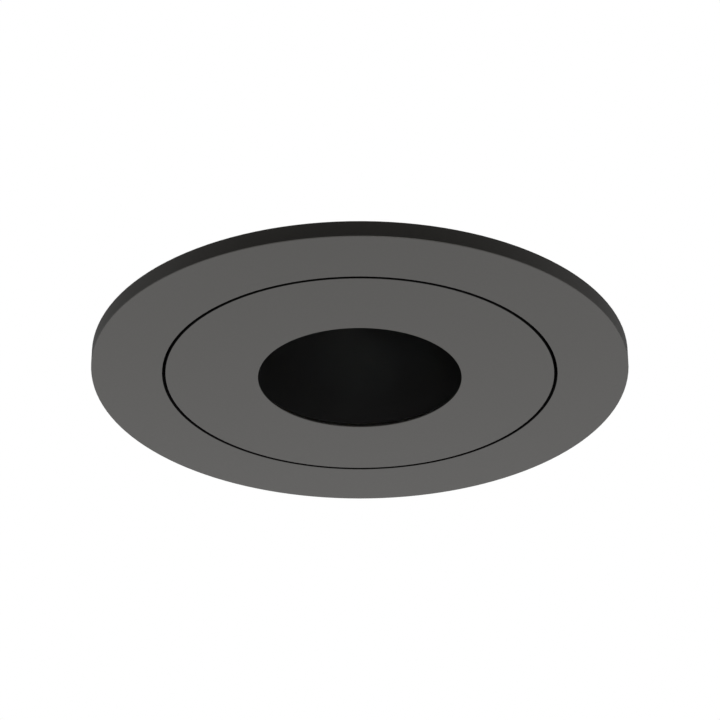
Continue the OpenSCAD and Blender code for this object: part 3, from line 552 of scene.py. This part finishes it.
def paint(piece, name, wanted):
    """Gives a second finish to the faces that wanted() picks by their middle and their normal."""
    pick(piece)
    bpy.ops.object.material_slot_add()
    piece.material_slots[1].material = finish(name)
    edit(piece, "DESELECT", "FACE")
    mesh = bmesh.from_edit_mesh(piece.data)
    for face in mesh.faces:
        face.select_set(wanted(face.calc_center_median(), face.normal))
    bmesh.update_edit_mesh(piece.data)
    bpy.ops.object.material_slot_assign()
    close()


# The seam's walls, its bevel and the ring behind it are painted near-black: painted shade, so that the seam reads
# as a dark gap
# Most that the seam's bevel faces along the axis, and least that a face behind the seam looks down
BEVEL_LEAN, DOWN_LEAN = 0.8, 0.3
# How far inside the seam's middle the ring behind it still shows
BEHIND_SEAM = 2 * MM


def in_seam_shade(middle, normal):
    """Whether a face is a wall of the seam between the flange and the insert, or the bevel below it; these get the
    seam's painted shade.
    """
    return abs(middle.xy.length - SEAM_R) < SEAM_WIDTH and abs(normal.z) < BEVEL_LEAN


def behind_seam_shade(middle, normal):
    """Whether a face of the carrier ring shows through the seam: it looks down, or towards the lamp. These get the
    seam's painted shade.
    """
    looks_in = normal.z < -DOWN_LEAN or normal.xy.dot(middle.xy) < 0
    return middle.xy.length > SEAM_R - BEHIND_SEAM and looks_in


# Trim


class DOWNLIGHT_OT_trim(bpy.types.Operator):
    """Models the trim flange, its collar, snap ring, stop pin and gasket"""
    bl_idname = "downlight.trim"
    bl_label = "Trim"

    GASKET_BEADS, BEAD_STEPS = 3, 3
    GASKET_GROOVE = 0.35 * MM
    COLLAR_GAP = 0.1 * MM
    # Shares of the pitch from a bead's outer edge: its inner edge, and the edges of the groove's floor
    BEAD_END, GROOVE_FLOOR = 0.7, (0.75, 0.95)
    TAB_CORNER = 2.2 * MM

    def gasket(self, rounding):
        """A ring with beads along its upper face, the seat."""
        bottom, top = low("flange_gasket").z, high("flange_gasket").z
        floor = top - self.GASKET_GROOVE
        outside = high("flange_gasket").x
        inside = high("collar").x + self.COLLAR_GAP
        pitch = (outside - inside) / self.GASKET_BEADS
        corners = [(inside, bottom, rounding), (outside, bottom, rounding)]
        for bead in range(self.GASKET_BEADS):
            edge = outside - bead * pitch
            corners += [(edge, top, rounding), (edge - self.BEAD_END * pitch, top, rounding)]
            if bead < self.GASKET_BEADS - 1:
                corners += [(edge - share * pitch, floor, 0) for share in self.GROOVE_FLOOR]
        corners.append((inside, floor, 0))
        stands_for(spun("flange_gasket_finished", rounded(corners, self.BEAD_STEPS)), "flange_gasket")

    def round_tab(self, collar):
        """Rounds the upper corners of the tether's tab."""
        top = high("collar").z
        round_these(collar, self.TAB_CORNER, lambda middle, along: (
            abs(along.y) > ALONG and top - middle.z < NEAR))

    def execute(self, context):
        # Painted shade on the flange's walls and bevel in the seam
        paint(softened("trim_flange", edge="crisp"), "recess_black", in_seam_shade)
        softened("collar", self.round_tab)
        softened("retaining_ring")
        softened("pan_stop_pin", edge="crisp")
        self.gasket(context.scene.downlight_edges.gasket)
        return {"FINISHED"}


# Spring clips


def both_sides(piece):
    """A clip's piece on the right, and its copy turned half round on the left."""
    return {"right": piece, "left": turned_copy(piece, math.pi, piece.name.replace("right", "left"))}


class DOWNLIGHT_OT_clips(bpy.types.Operator):
    """Models the spring clips: brackets, pins, blades, rubber sleeves and torsion springs"""
    bl_idname = "downlight.clips"
    bl_label = "Spring Clips"

    PLATE_CORNER = 1.5 * MM
    BLADE_THICKNESS = 0.6 * MM
    BLADE_TOP = -1.75 * MM
    BEAD_FROM, BEAD_TO, BEAD_WIDTH = 9.5 * MM, 19.5 * MM, 2.6 * MM
    SLEEVE_FROM, SLEEVE_TO = 21 * MM, 30.9 * MM
    SLEEVE_WIDTH, SLEEVE_DEPTH = 10.8 * MM, 2.4 * MM
    SLEEVE_MIDDLE = -2.05 * MM
    RIB_WIDTH, RIB_PROUD = 0.8 * MM, 0.35 * MM
    # Pitches from a sleeve's end to the first rib's middle
    RIB_MARGIN = 0.75
    WIRE_SIDES = 4
    WIRE_SMOOTH = math.radians(60)
    CURL_RINGS = 28
    LEG_SHARES = (0.25, 0.5, 0.75, 1)

    def round_plate(self, bracket):
        """Rounds the corners of the plate that lies on the collar."""
        top, bottom = high("clip_bracket_right").z, low("clip_bracket_right").z
        round_these(bracket, self.PLATE_CORNER, lambda middle, along: (
            abs(along.x) > ALONG and min(top - middle.z, middle.z - bottom) < NEAR))

    def capsule(self, on_blade, height, lift):
        """A long flat dome, for a pressed bead."""
        reach = (self.BEAD_TO - self.BEAD_FROM - self.BEAD_WIDTH) / 2
        dome = added(
            bpy.ops.mesh.primitive_uv_sphere_add, "bead", segments=32, ring_count=16,
            radius=self.BEAD_WIDTH / 2)
        for sign in (-1, 1):
            edit(dome, "DESELECT")
            mesh = bmesh.from_edit_mesh(dome.data)
            for vertex in mesh.verts:
                vertex.select_set(sign * vertex.co.x > SLIVER)
            mesh.select_flush_mode()
            bmesh.update_edit_mesh(dome.data)
            bpy.ops.transform.translate(value=(sign * reach, 0, 0))
            close()
        middle = (self.BEAD_FROM + self.BEAD_TO) / 2
        flat = Matrix.Diagonal((1, 1, height / (self.BEAD_WIDTH / 2), 1))
        dome.data.transform(on_blade @ Matrix.Translation((middle, 0, self.BLADE_TOP + lift)) @ flat)
        return dome

    def blade(self, on_blade, clips):
        """The blade, with a bead that is pressed up from below."""

        def press(piece):
            cut_or_fuse(piece, self.capsule(on_blade, clips.bead, 0), "UNION")
            cut_or_fuse(piece, self.capsule(on_blade, clips.bead, -self.BLADE_THICKNESS))

        return finished("clip_blade_right", press, edge="crisp")

    def sleeve(self, on_blade, clips):
        """The rubber sleeve, with ribs across it."""
        pitch = (self.SLEEVE_TO - self.SLEEVE_FROM) / (clips.sleeve_ribs - 1 + 2 * self.RIB_MARGIN)
        width, depth = self.SLEEVE_WIDTH + 2 * self.RIB_PROUD, self.SLEEVE_DEPTH + 2 * self.RIB_PROUD

        def rib(piece):
            for index in range(clips.sleeve_ribs):
                place = (self.SLEEVE_FROM + (index + self.RIB_MARGIN) * pitch, 0, self.SLEEVE_MIDDLE)
                band = added(bpy.ops.mesh.primitive_cube_add, "rib", size=1)
                band.data.transform(Matrix.Diagonal((self.RIB_WIDTH, width, depth, 1)))
                round_edges(band, self.RIB_PROUD, 3)
                band.data.transform(on_blade @ Matrix.Translation(place))
                cut_or_fuse(band, merged_copy("clip_blade_right"))
                cut_or_fuse(piece, band, "UNION")

        return finished("clip_sleeve_right", rib)

    def wire_path(self, clips):
        """The torsion spring's line at the right side: up the bracket, round the pin, along the blade."""
        turn = clips.curls * math.tau + math.pi / 2 - clips.drop
        rise = clips.pitch * turn / math.tau
        rings = math.ceil(turn / math.tau * self.CURL_RINGS)
        path = [
            Vector((-clips.coil, -rise / 2, clips.bracket_leg * share))
            for share in reversed(self.LEG_SHARES)]
        for ring in range(rings + 1):
            angle = math.pi + turn * ring / rings
            height = (ring / rings - 0.5) * rise
            path.append(Vector((clips.coil * math.cos(angle), height, clips.coil * math.sin(angle))))
        along = Vector((math.cos(clips.drop), 0, -math.sin(clips.drop)))
        path += [path[-1] + along * clips.blade_leg * share for share in self.LEG_SHARES]
        return path, rise

    def spring(self, on_pin, clips):
        """The torsion springs: one wire each, curled round the pin from the bracket to the blade."""
        path, rise = self.wire_path(clips)
        wire = added(bpy.ops.curve.primitive_nurbs_path_add, "torsion_spring_right_finished")
        wire.data.splines.clear()
        line = wire.data.splines.new("POLY")
        line.points.add(len(path) - 1)
        for point, place in zip(line.points, path):
            point.co = (*place, 1.0)
        wire.data.bevel_depth = clips.wire / 2
        wire.data.bevel_resolution = self.WIRE_SIDES
        wire.data.use_fill_caps = True
        pick(wire)
        bpy.ops.object.convert(target="MESH")
        wire = bpy.context.object
        wire.data.transform(on_pin)
        edit(wire)
        bpy.ops.mesh.remove_doubles(threshold=SLIVER)
        bpy.ops.mesh.normals_make_consistent(inside=False)
        close()
        pick(wire)
        bpy.ops.object.shade_smooth_by_angle(angle=self.WIRE_SMOOTH)
        for side, piece in both_sides(wire).items():
            node = "torsion_spring_" + side
            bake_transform(piece)
            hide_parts(node)
            dress(piece, SLOT_OF[node])

    def execute(self, context):
        clips = context.scene.downlight_clips
        on_pin = Matrix.Translation(PIVOT_OF["clip_right"])
        on_blade = on_pin @ Matrix.Rotation(clips.drop, 4, "Y")
        for piece in (
                finished("clip_bracket_right", self.round_plate),
                finished("clip_pin_right"),
                self.blade(on_blade, clips),
                self.sleeve(on_blade, clips)):
            for side, one in both_sides(piece).items():
                stands_for(one, piece.name.replace("right_finished", side))
        self.spring(on_pin, clips)
        softened("bracket_rivets")
        return {"FINISHED"}


# Carrier ring and the lamp's front


class DOWNLIGHT_OT_carrier(bpy.types.Operator):
    """Models the carrier ring and its washers; the friction ring inside stays as packed"""
    bl_idname = "downlight.carrier"
    bl_label = "Carrier Ring"

    def execute(self, context):
        # Painted shade on the ring's faces that show through the seam
        paint(softened("carrier_ring"), "recess_black", behind_seam_shade)
        softened("pivot_washers", edge="crisp")
        return {"FINISHED"}


class DOWNLIGHT_OT_lamp_front(bpy.types.Operator):
    """Models the insert, the barrel behind it and the lens with its gasket; the reflector stays as packed"""
    bl_idname = "downlight.lamp_front"
    bl_label = "Lamp Front"

    BARREL_INSIDE = 20.4 * MM

    def execute(self, context):
        lens_z = low("lens_gasket").z

        def inside(middle, normal):
            """Whether a face of the barrel looks into it, below the lens."""
            looks_in = middle.xy.dot(normal.xy) < 0 or normal.z < -ALONG
            return middle.z < lens_z and middle.xy.length < self.BARREL_INSIDE and looks_in

        # Painted shade on the insert's edge and bevel in the seam
        paint(softened("insert_plate", edge="crisp"), "recess_black", in_seam_shade)
        paint(softened("baffle_barrel", edge="crisp"), "optical_black", inside)
        softened("lens")
        softened("lens_gasket")
        return {"FINISHED"}


class DOWNLIGHT_OT_light_source(bpy.types.Operator):
    """Models the light source: its lit disc, board, holder, thermal pad and leads"""
    bl_idname = "downlight.light_source"
    bl_label = "Light Source"

    # The lit disc's crown, as a share of its thickness, and its rings from the middle and steps around
    CROWN, CROWN_RINGS, DISC_STEPS = 0.35, 10, 96

    def phosphor(self):
        """The lit disc: silicone gel with a low crown, hung under the board."""
        bottom, top = low("led_phosphor").z, high("led_phosphor").z
        radius = high("led_phosphor").x
        crown = self.CROWN * (top - bottom)
        bowl = [
            (radius * math.sin(share * math.pi / 2), bottom + crown * (1 - math.cos(share * math.pi / 2)))
            for share in (ring / self.CROWN_RINGS for ring in range(self.CROWN_RINGS + 1))]
        disc = spun("led_phosphor_finished", bowl + [(radius, top), (0, top)], self.DISC_STEPS)
        stands_for(disc, "led_phosphor")

    def execute(self, context):
        softened("led_holder")
        softened("led_board", edge="crisp")
        softened("thermal_pad", edge="crisp")
        softened("led_leads")
        self.phosphor()
        return {"FINISHED"}


# Heat sink, driver and rear cap


class DOWNLIGHT_OT_heat_sink(bpy.types.Operator):
    """Models the heat sink: a base, a core with fins round it and the plate under the rear cap"""
    bl_idname = "downlight.heat_sink"
    bl_label = "Heat Sink"

    GROOVE = 0.5 * MM
    # Rounding of a fin's outer edges, as a share of its thickness
    FIN_ROUNDING = 0.45

    def fin(self, lamp, radius, bottom, top):
        """One fin along +X, its outer edges rounded."""
        inside = lamp.core / 2
        outside = radius - lamp.fin_setback
        fin = added(bpy.ops.mesh.primitive_cube_add, "fin", size=1)
        fin.data.transform(Matrix.Diagonal((outside - inside, lamp.fin_thickness, top - bottom, 1)))
        fin.data.transform(Matrix.Translation(((outside + inside) / 2, 0, (top + bottom) / 2)))
        round_these(fin, self.FIN_ROUNDING * lamp.fin_thickness, lambda middle, along: (
            abs(along.z) > ALONG and middle.x > outside - NEAR))
        return fin

    def execute(self, context):
        lamp, cast = context.scene.downlight_lamp, context.scene.downlight_edges.cast
        bottom, top = low("heat_sink").z, high("heat_sink").z
        radius = high("heat_sink").x
        base_top, plate_bottom = bottom + lamp.base, top - lamp.plate
        groove_z, groove_edge = bottom + lamp.base / 2, self.GROOVE / 4
        outline = rounded([
            (0, bottom, 0),
            (radius, bottom, cast),
            (radius, groove_z - self.GROOVE, groove_edge),
            (radius - self.GROOVE, groove_z, groove_edge),
            (radius, groove_z + self.GROOVE, groove_edge),
            (radius, base_top, cast),
            (lamp.core, base_top, cast),
            (lamp.core, plate_bottom, cast),
            (radius, plate_bottom, cast),
            (radius, top, cast),
            (0, top, 0)])
        sink = spun("heat_sink_finished", outline)
        overlap = lamp.plate / 2
        fins = around(self.fin(lamp, radius, base_top - overlap, plate_bottom + overlap), lamp.fins)
        cut_or_fuse(sink, fins, "UNION")
        stands_for(sink, "heat_sink")
        return {"FINISHED"}


class DOWNLIGHT_OT_driver(bpy.types.Operator):
    """Models the driver: its board, the parts on it and the terminal block"""
    bl_idname = "downlight.driver"
    bl_label = "Driver"

    def execute(self, context):
        for node in (
                "driver_board", "board_standoffs", "driver_transformer", "driver_choke", "terminal_block"):
            softened(node)
        softened("driver_capacitor", edge="can")
        return {"FINISHED"}


class DOWNLIGHT_OT_rear_cap(bpy.types.Operator):
    """Models the rear cap, with grip flutes round it, and its gasket"""
    bl_idname = "downlight.rear_cap"
    bl_label = "Rear Cap"

    # From the gasket's underside up to a flute's start, and from the top down to its end
    FLUTE_FROM, FLUTE_TO = 3 * MM, 4 * MM
    # Shares of its radius: how far its middle stands outside the wall, and the rounding of its ends
    FLUTE_OUTSIDE, FLUTE_END = 0.45, 0.5
    FLUTE_SIDES = 16
    ARC_STEPS = 8
    CLEAR = MM

    def flute(self, cap):
        """Cuts the grip flutes into the wall."""
        lamp = bpy.context.scene.downlight_lamp
        radius = high("rear_cap").x
        bottom, top = low("cap_gasket").z + self.FLUTE_FROM, high("rear_cap").z - self.FLUTE_TO
        rod = added(
            bpy.ops.mesh.primitive_cylinder_add, "flute", vertices=self.FLUTE_SIDES, radius=lamp.flute,
            depth=top - bottom)
        middle = (radius + self.FLUTE_OUTSIDE * lamp.flute, 0, (top + bottom) / 2)
        rod.data.transform(Matrix.Translation(middle))
        round_edges(rod, self.FLUTE_END * lamp.flute, 3)
        cut_or_fuse(cap, around(rod, lamp.flutes, math.pi / lamp.flutes))

    def round_shoulder(self, cap):
        """Turns the chamfer of the shoulder into a full round."""
        rounding = bpy.context.scene.downlight_edges.shoulder
        radius, top = high("rear_cap").x, high("rear_cap").z
        arc = []
        for step in range(self.ARC_STEPS + 1):
            angle = math.pi / 2 * step / self.ARC_STEPS
            arc.append((radius - rounding * (1 - math.sin(angle)), top - rounding * (1 - math.cos(angle))))
        outside, above = radius + self.CLEAR, top + self.CLEAR
        arc += [(outside, top - rounding), (outside, above), (radius - rounding, above)]
        cut_or_fuse(cap, spun("shoulder", arc))

    def execute(self, context):
        softened("rear_cap", self.flute, self.round_shoulder)
        softened("cap_gasket")
        return {"FINISHED"}


class DOWNLIGHT_OT_gland(bpy.types.Operator):
    """Models the cable gland: its body, locknut, gasket, seal and nut"""
    bl_idname = "downlight.gland"
    bl_label = "Cable Gland"

    CHAMFER = 1.1 * MM
    CHAMFER_SLOPE = 0.45
    PAST_END = 0.5 * MM
    HEXAGON, NUT_CROWN = 4 * MM, 3.5 * MM

    def chamfer(self, node, bottom, top):
        """Takes the corners off a hexagon's two ends, as on a turned nut."""
        corner = max(high(node).x, high(node).y)
        inside, outside = corner - self.CHAMFER, corner + self.CHAMFER
        drop = self.CHAMFER * 2 * self.CHAMFER_SLOPE

        def turn_down(piece):
            for z, sign in ((bottom, -1), (top, 1)):
                past = z + sign * self.PAST_END
                wedge = [(inside, z), (outside, z - sign * drop), (outside, past), (inside, past)]
                cut_or_fuse(piece, spun("chamfer", wedge))

        return turn_down

    def execute(self, context):
        body_bottom, nut_bottom = high("gland_gasket").z, low("gland_nut").z
        body_top, nut_top = body_bottom + self.HEXAGON, high("gland_nut").z - self.NUT_CROWN
        softened("gland_body", self.chamfer("gland_body", body_bottom, body_top))
        softened("gland_nut", self.chamfer("gland_nut", nut_bottom, nut_top), edge="moulded")
        softened("gland_locknut")
        softened("gland_gasket")
        softened("gland_seal", edge="moulded")
        return {"FINISHED"}


class DOWNLIGHT_OT_fasteners(bpy.types.Operator):
    """Models the screws"""
    bl_idname = "downlight.fasteners"
    bl_label = "Fasteners"

    def execute(self, context):
        for node in SLOT_OF:
            if node.endswith(("_screws", "_screw")):
                softened(node)
        return {"FINISHED"}


# The stage


def aim(thing, at):
    """Turns a lamp or camera towards a point, upright."""
    back = (thing.location - Vector(at)).normalized()
    side = Vector((0, 0, 1)).cross(back).normalized()
    thing.rotation_euler = Matrix((side, back.cross(side), back)).transposed().to_euler()


class DOWNLIGHT_OT_camera(bpy.types.Operator):
    """Adds the camera, below the soffit and looking up at the face"""
    bl_idname = "downlight.camera"
    bl_label = "Camera"

    FRAME_PX = 720
    SENSOR_MM = 36
    FACE_CENTRE_PX = (359.8, 379.33)
    NEAREST, FARTHEST = 0.01, 100

    def execute(self, context):
        stage = context.scene.downlight_stage
        face_centre = Vector((0, 0, low("trim_flange").z))
        drop = stage.camera_drop
        away = Vector((0, -math.cos(drop), -math.sin(drop)))
        up = Vector((0, -math.sin(drop), math.cos(drop)))
        bpy.ops.object.camera_add(location=face_centre + away * stage.camera_distance)
        camera = context.object
        camera.data.sensor_width = self.SENSOR_MM
        camera.data.lens = stage.lens
        camera.data.clip_start, camera.data.clip_end = self.NEAREST, self.FARTHEST
        lens_px = stage.lens / self.SENSOR_MM * self.FRAME_PX
        px = stage.camera_distance / lens_px
        aside = (self.FRAME_PX / 2 - self.FACE_CENTRE_PX[0]) * px
        above = (self.FACE_CENTRE_PX[1] - self.FRAME_PX / 2) * px
        aim(camera, face_centre + Vector((aside, 0, 0)) + up * above)
        context.scene.camera = camera
        context.scene.view_settings.view_transform = "Standard"
        return {"FINISHED"}


def reflected(tree):
    """1 for the rays that a gloss or a glass sends on, so that it shows the white surround."""
    path = add(tree, "ShaderNodeLightPath").outputs
    return add(tree, "ShaderNodeMath", {"operation": "MAXIMUM"}, {
        0: path["Is Glossy Ray"], 1: path["Is Transmission Ray"]}).outputs[0]


class DOWNLIGHT_OT_stage(bpy.types.Operator):
    """Adds the floor, the soffit's underside and the light"""
    bl_idname = "downlight.stage"
    bl_label = "Stage"

    WORLD_LEVEL = 0.7
    # Each lamp's place, its diameter and its power in watts
    LAMPS = {"upper_lamp": ((-1.1, -1.3, 1.9), 1.4, 33), "front_lamp": ((0.4, -1.6, -1.2), 0.6, 7)}
    # White for the camera alone: in the photograph the flange's rim is dark, as the soffit's underside that
    # it reflects lies in shade, deepest on the camera's side. The upper side is clear, so glass and metal
    # behind the soffit see the white surround.
    SOFFIT_LEVEL = 0.24
    # Glow on the camera's side, and the band in Y over which the glow dims to it: painted shade
    SHADOW_LEVEL = 0.05
    SHADOW_FROM, SHADOW_TO = -56 * MM, -36 * MM

    def floor(self, stage):
        """A pale floor, white where gloss or glass shows it."""
        floor = added(
            bpy.ops.mesh.primitive_circle_add, "floor", vertices=64, radius=stage.floor_radius,
            fill_type="NGON", location=(0, 0, -stage.floor_drop))
        material, tree = new_material("pale_floor")
        shader = add(tree, "ShaderNodeBsdfPrincipled", inputs={
            "Roughness": 0.9, "Base Color": (*stage.floor_colour, 1.0)})
        white = add(tree, "ShaderNodeEmission")
        seen = add(tree, "ShaderNodeMixShader", inputs={
            0: reflected(tree), 1: shader.outputs["BSDF"], 2: white.outputs["Emission"]})
        add(tree, "ShaderNodeOutputMaterial", inputs={"Surface": seen.outputs["Shader"]})
        floor.data.materials.append(material)

    def soffit(self, stage):
        """The soffit's underside, a ring round the cut-out: white to the camera, and a glow of painted shade to
        every other ray.
        """
        soffit = added(
            bpy.ops.mesh.primitive_circle_add, "soffit_underside", vertices=128, radius=stage.soffit_radius,
            fill_type="NOTHING")
        share = stage.cutout_radius / stage.soffit_radius
        edit(soffit)
        bpy.ops.mesh.extrude_edges_move()
        bpy.ops.transform.resize(value=(share, share, 1))
        bpy.ops.mesh.select_all(action="SELECT")
        bpy.ops.mesh.normals_make_consistent(inside=False)
        close()
        if soffit.data.polygons[0].normal.z > 0:
            edit(soffit)
            bpy.ops.mesh.flip_normals()
            close()
        material, tree = new_material("soffit_underside")
        place = add(tree, "ShaderNodeTexCoord").outputs["Object"]
        depth = add(tree, "ShaderNodeSeparateXYZ", inputs={"Vector": place}).outputs["Y"]
        # Painted shade: the glow dims towards the camera's side
        shadow = add(tree, "ShaderNodeMapRange", inputs={
            "Value": depth, "From Min": self.SHADOW_FROM, "From Max": self.SHADOW_TO,
            "To Min": self.SHADOW_LEVEL, "To Max": self.SOFFIT_LEVEL})
        level = add(tree, "ShaderNodeMath", {"operation": "MAXIMUM"}, {
            0: shadow.outputs["Result"], 1: add(tree, "ShaderNodeLightPath").outputs["Is Camera Ray"]})
        glow = add(tree, "ShaderNodeEmission", inputs={"Strength": level.outputs[0]})
        clear = add(tree, "ShaderNodeBsdfTransparent")
        above = add(tree, "ShaderNodeNewGeometry").outputs["Backfacing"]
        sides = add(tree, "ShaderNodeMixShader", inputs={
            0: above, 1: glow.outputs["Emission"], 2: clear.outputs["BSDF"]})
        add(tree, "ShaderNodeOutputMaterial", inputs={"Surface": sides.outputs["Shader"]})
        soffit.data.materials.append(material)

    def world(self, scene):
        """A white surround that lights a little less."""
        world = bpy.data.worlds.new("white_surround")
        world.use_nodes = True
        scene.world = world
        tree = world.node_tree
        tree.nodes.clear()
        camera_ray = add(tree, "ShaderNodeLightPath").outputs["Is Camera Ray"]
        seen = add(tree, "ShaderNodeMath", {"operation": "MAXIMUM"}, {0: camera_ray, 1: reflected(tree)})
        level = add(tree, "ShaderNodeMapRange", inputs={
            "Value": seen.outputs[0], "To Min": self.WORLD_LEVEL, "To Max": 1.0})
        light = add(tree, "ShaderNodeBackground", inputs={
            "Color": (1, 1, 1, 1), "Strength": level.outputs["Result"]})
        add(tree, "ShaderNodeOutputWorld", inputs={"Surface": light.outputs["Background"]})

    def lamp(self, name, place, size, power):
        """A round lamp that shines on the seat."""
        lamp = added(bpy.ops.object.light_add, name, type="AREA", location=place)
        lamp.data.shape = "DISK"
        lamp.data.size = size
        lamp.data.energy = power
        aim(lamp, (0, 0, 0))

    def execute(self, context):
        stage = context.scene.downlight_stage
        self.floor(stage)
        self.soffit(stage)
        self.world(context.scene)
        for name, placing in self.LAMPS.items():
            self.lamp(name, *placing)
        return {"FINISHED"}


class DOWNLIGHT_OT_finishes(bpy.types.Operator):
    """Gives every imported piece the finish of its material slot"""
    bl_idname = "downlight.finishes"
    bl_label = "Finishes"

    def execute(self, context):
        for node, slot in SLOT_OF.items():
            dress(frame["nodes"][node], slot)
        return {"FINISHED"}


class DOWNLIGHT_PT_sidebar(bpy.types.Panel):
    """The downlight's steps, in order"""
    bl_idname = "DOWNLIGHT_PT_sidebar"
    bl_label = "Soffit Downlight"
    bl_space_type = "VIEW_3D"
    bl_region_type = "UI"
    bl_category = "Downlight"

    def draw(self, context):
        for step in STEPS:
            self.layout.operator(step.bl_idname)


STEPS = (
    DOWNLIGHT_OT_camera, DOWNLIGHT_OT_finishes, DOWNLIGHT_OT_trim, DOWNLIGHT_OT_clips, DOWNLIGHT_OT_carrier,
    DOWNLIGHT_OT_lamp_front, DOWNLIGHT_OT_light_source, DOWNLIGHT_OT_heat_sink, DOWNLIGHT_OT_driver,
    DOWNLIGHT_OT_rear_cap, DOWNLIGHT_OT_gland, DOWNLIGHT_OT_fasteners, DOWNLIGHT_OT_stage)
GROUPS = {
    "downlight_finishes": DownlightFinishes,
    "downlight_edges": DownlightEdges,
    "downlight_clips": DownlightClips,
    "downlight_lamp": DownlightLamp,
    "downlight_stage": DownlightStage,
}


def register():
    for group in GROUPS.values():
        bpy.utils.register_class(group)
    for name, group in GROUPS.items():
        setattr(bpy.types.Scene, name, PointerProperty(type=group))
    for step in STEPS:
        bpy.utils.register_class(step)
    bpy.utils.register_class(DOWNLIGHT_PT_sidebar)


def unregister():
    bpy.utils.unregister_class(DOWNLIGHT_PT_sidebar)
    for step in reversed(STEPS):
        bpy.utils.unregister_class(step)
    for name in GROUPS:
        delattr(bpy.types.Scene, name)
    for group in reversed(GROUPS.values()):
        bpy.utils.unregister_class(group)


def main():
    register()
    for step in STEPS:
        family, name = step.bl_idname.split(".")
        getattr(getattr(bpy.ops, family), name)()


if __name__ == "__main__":
    main()
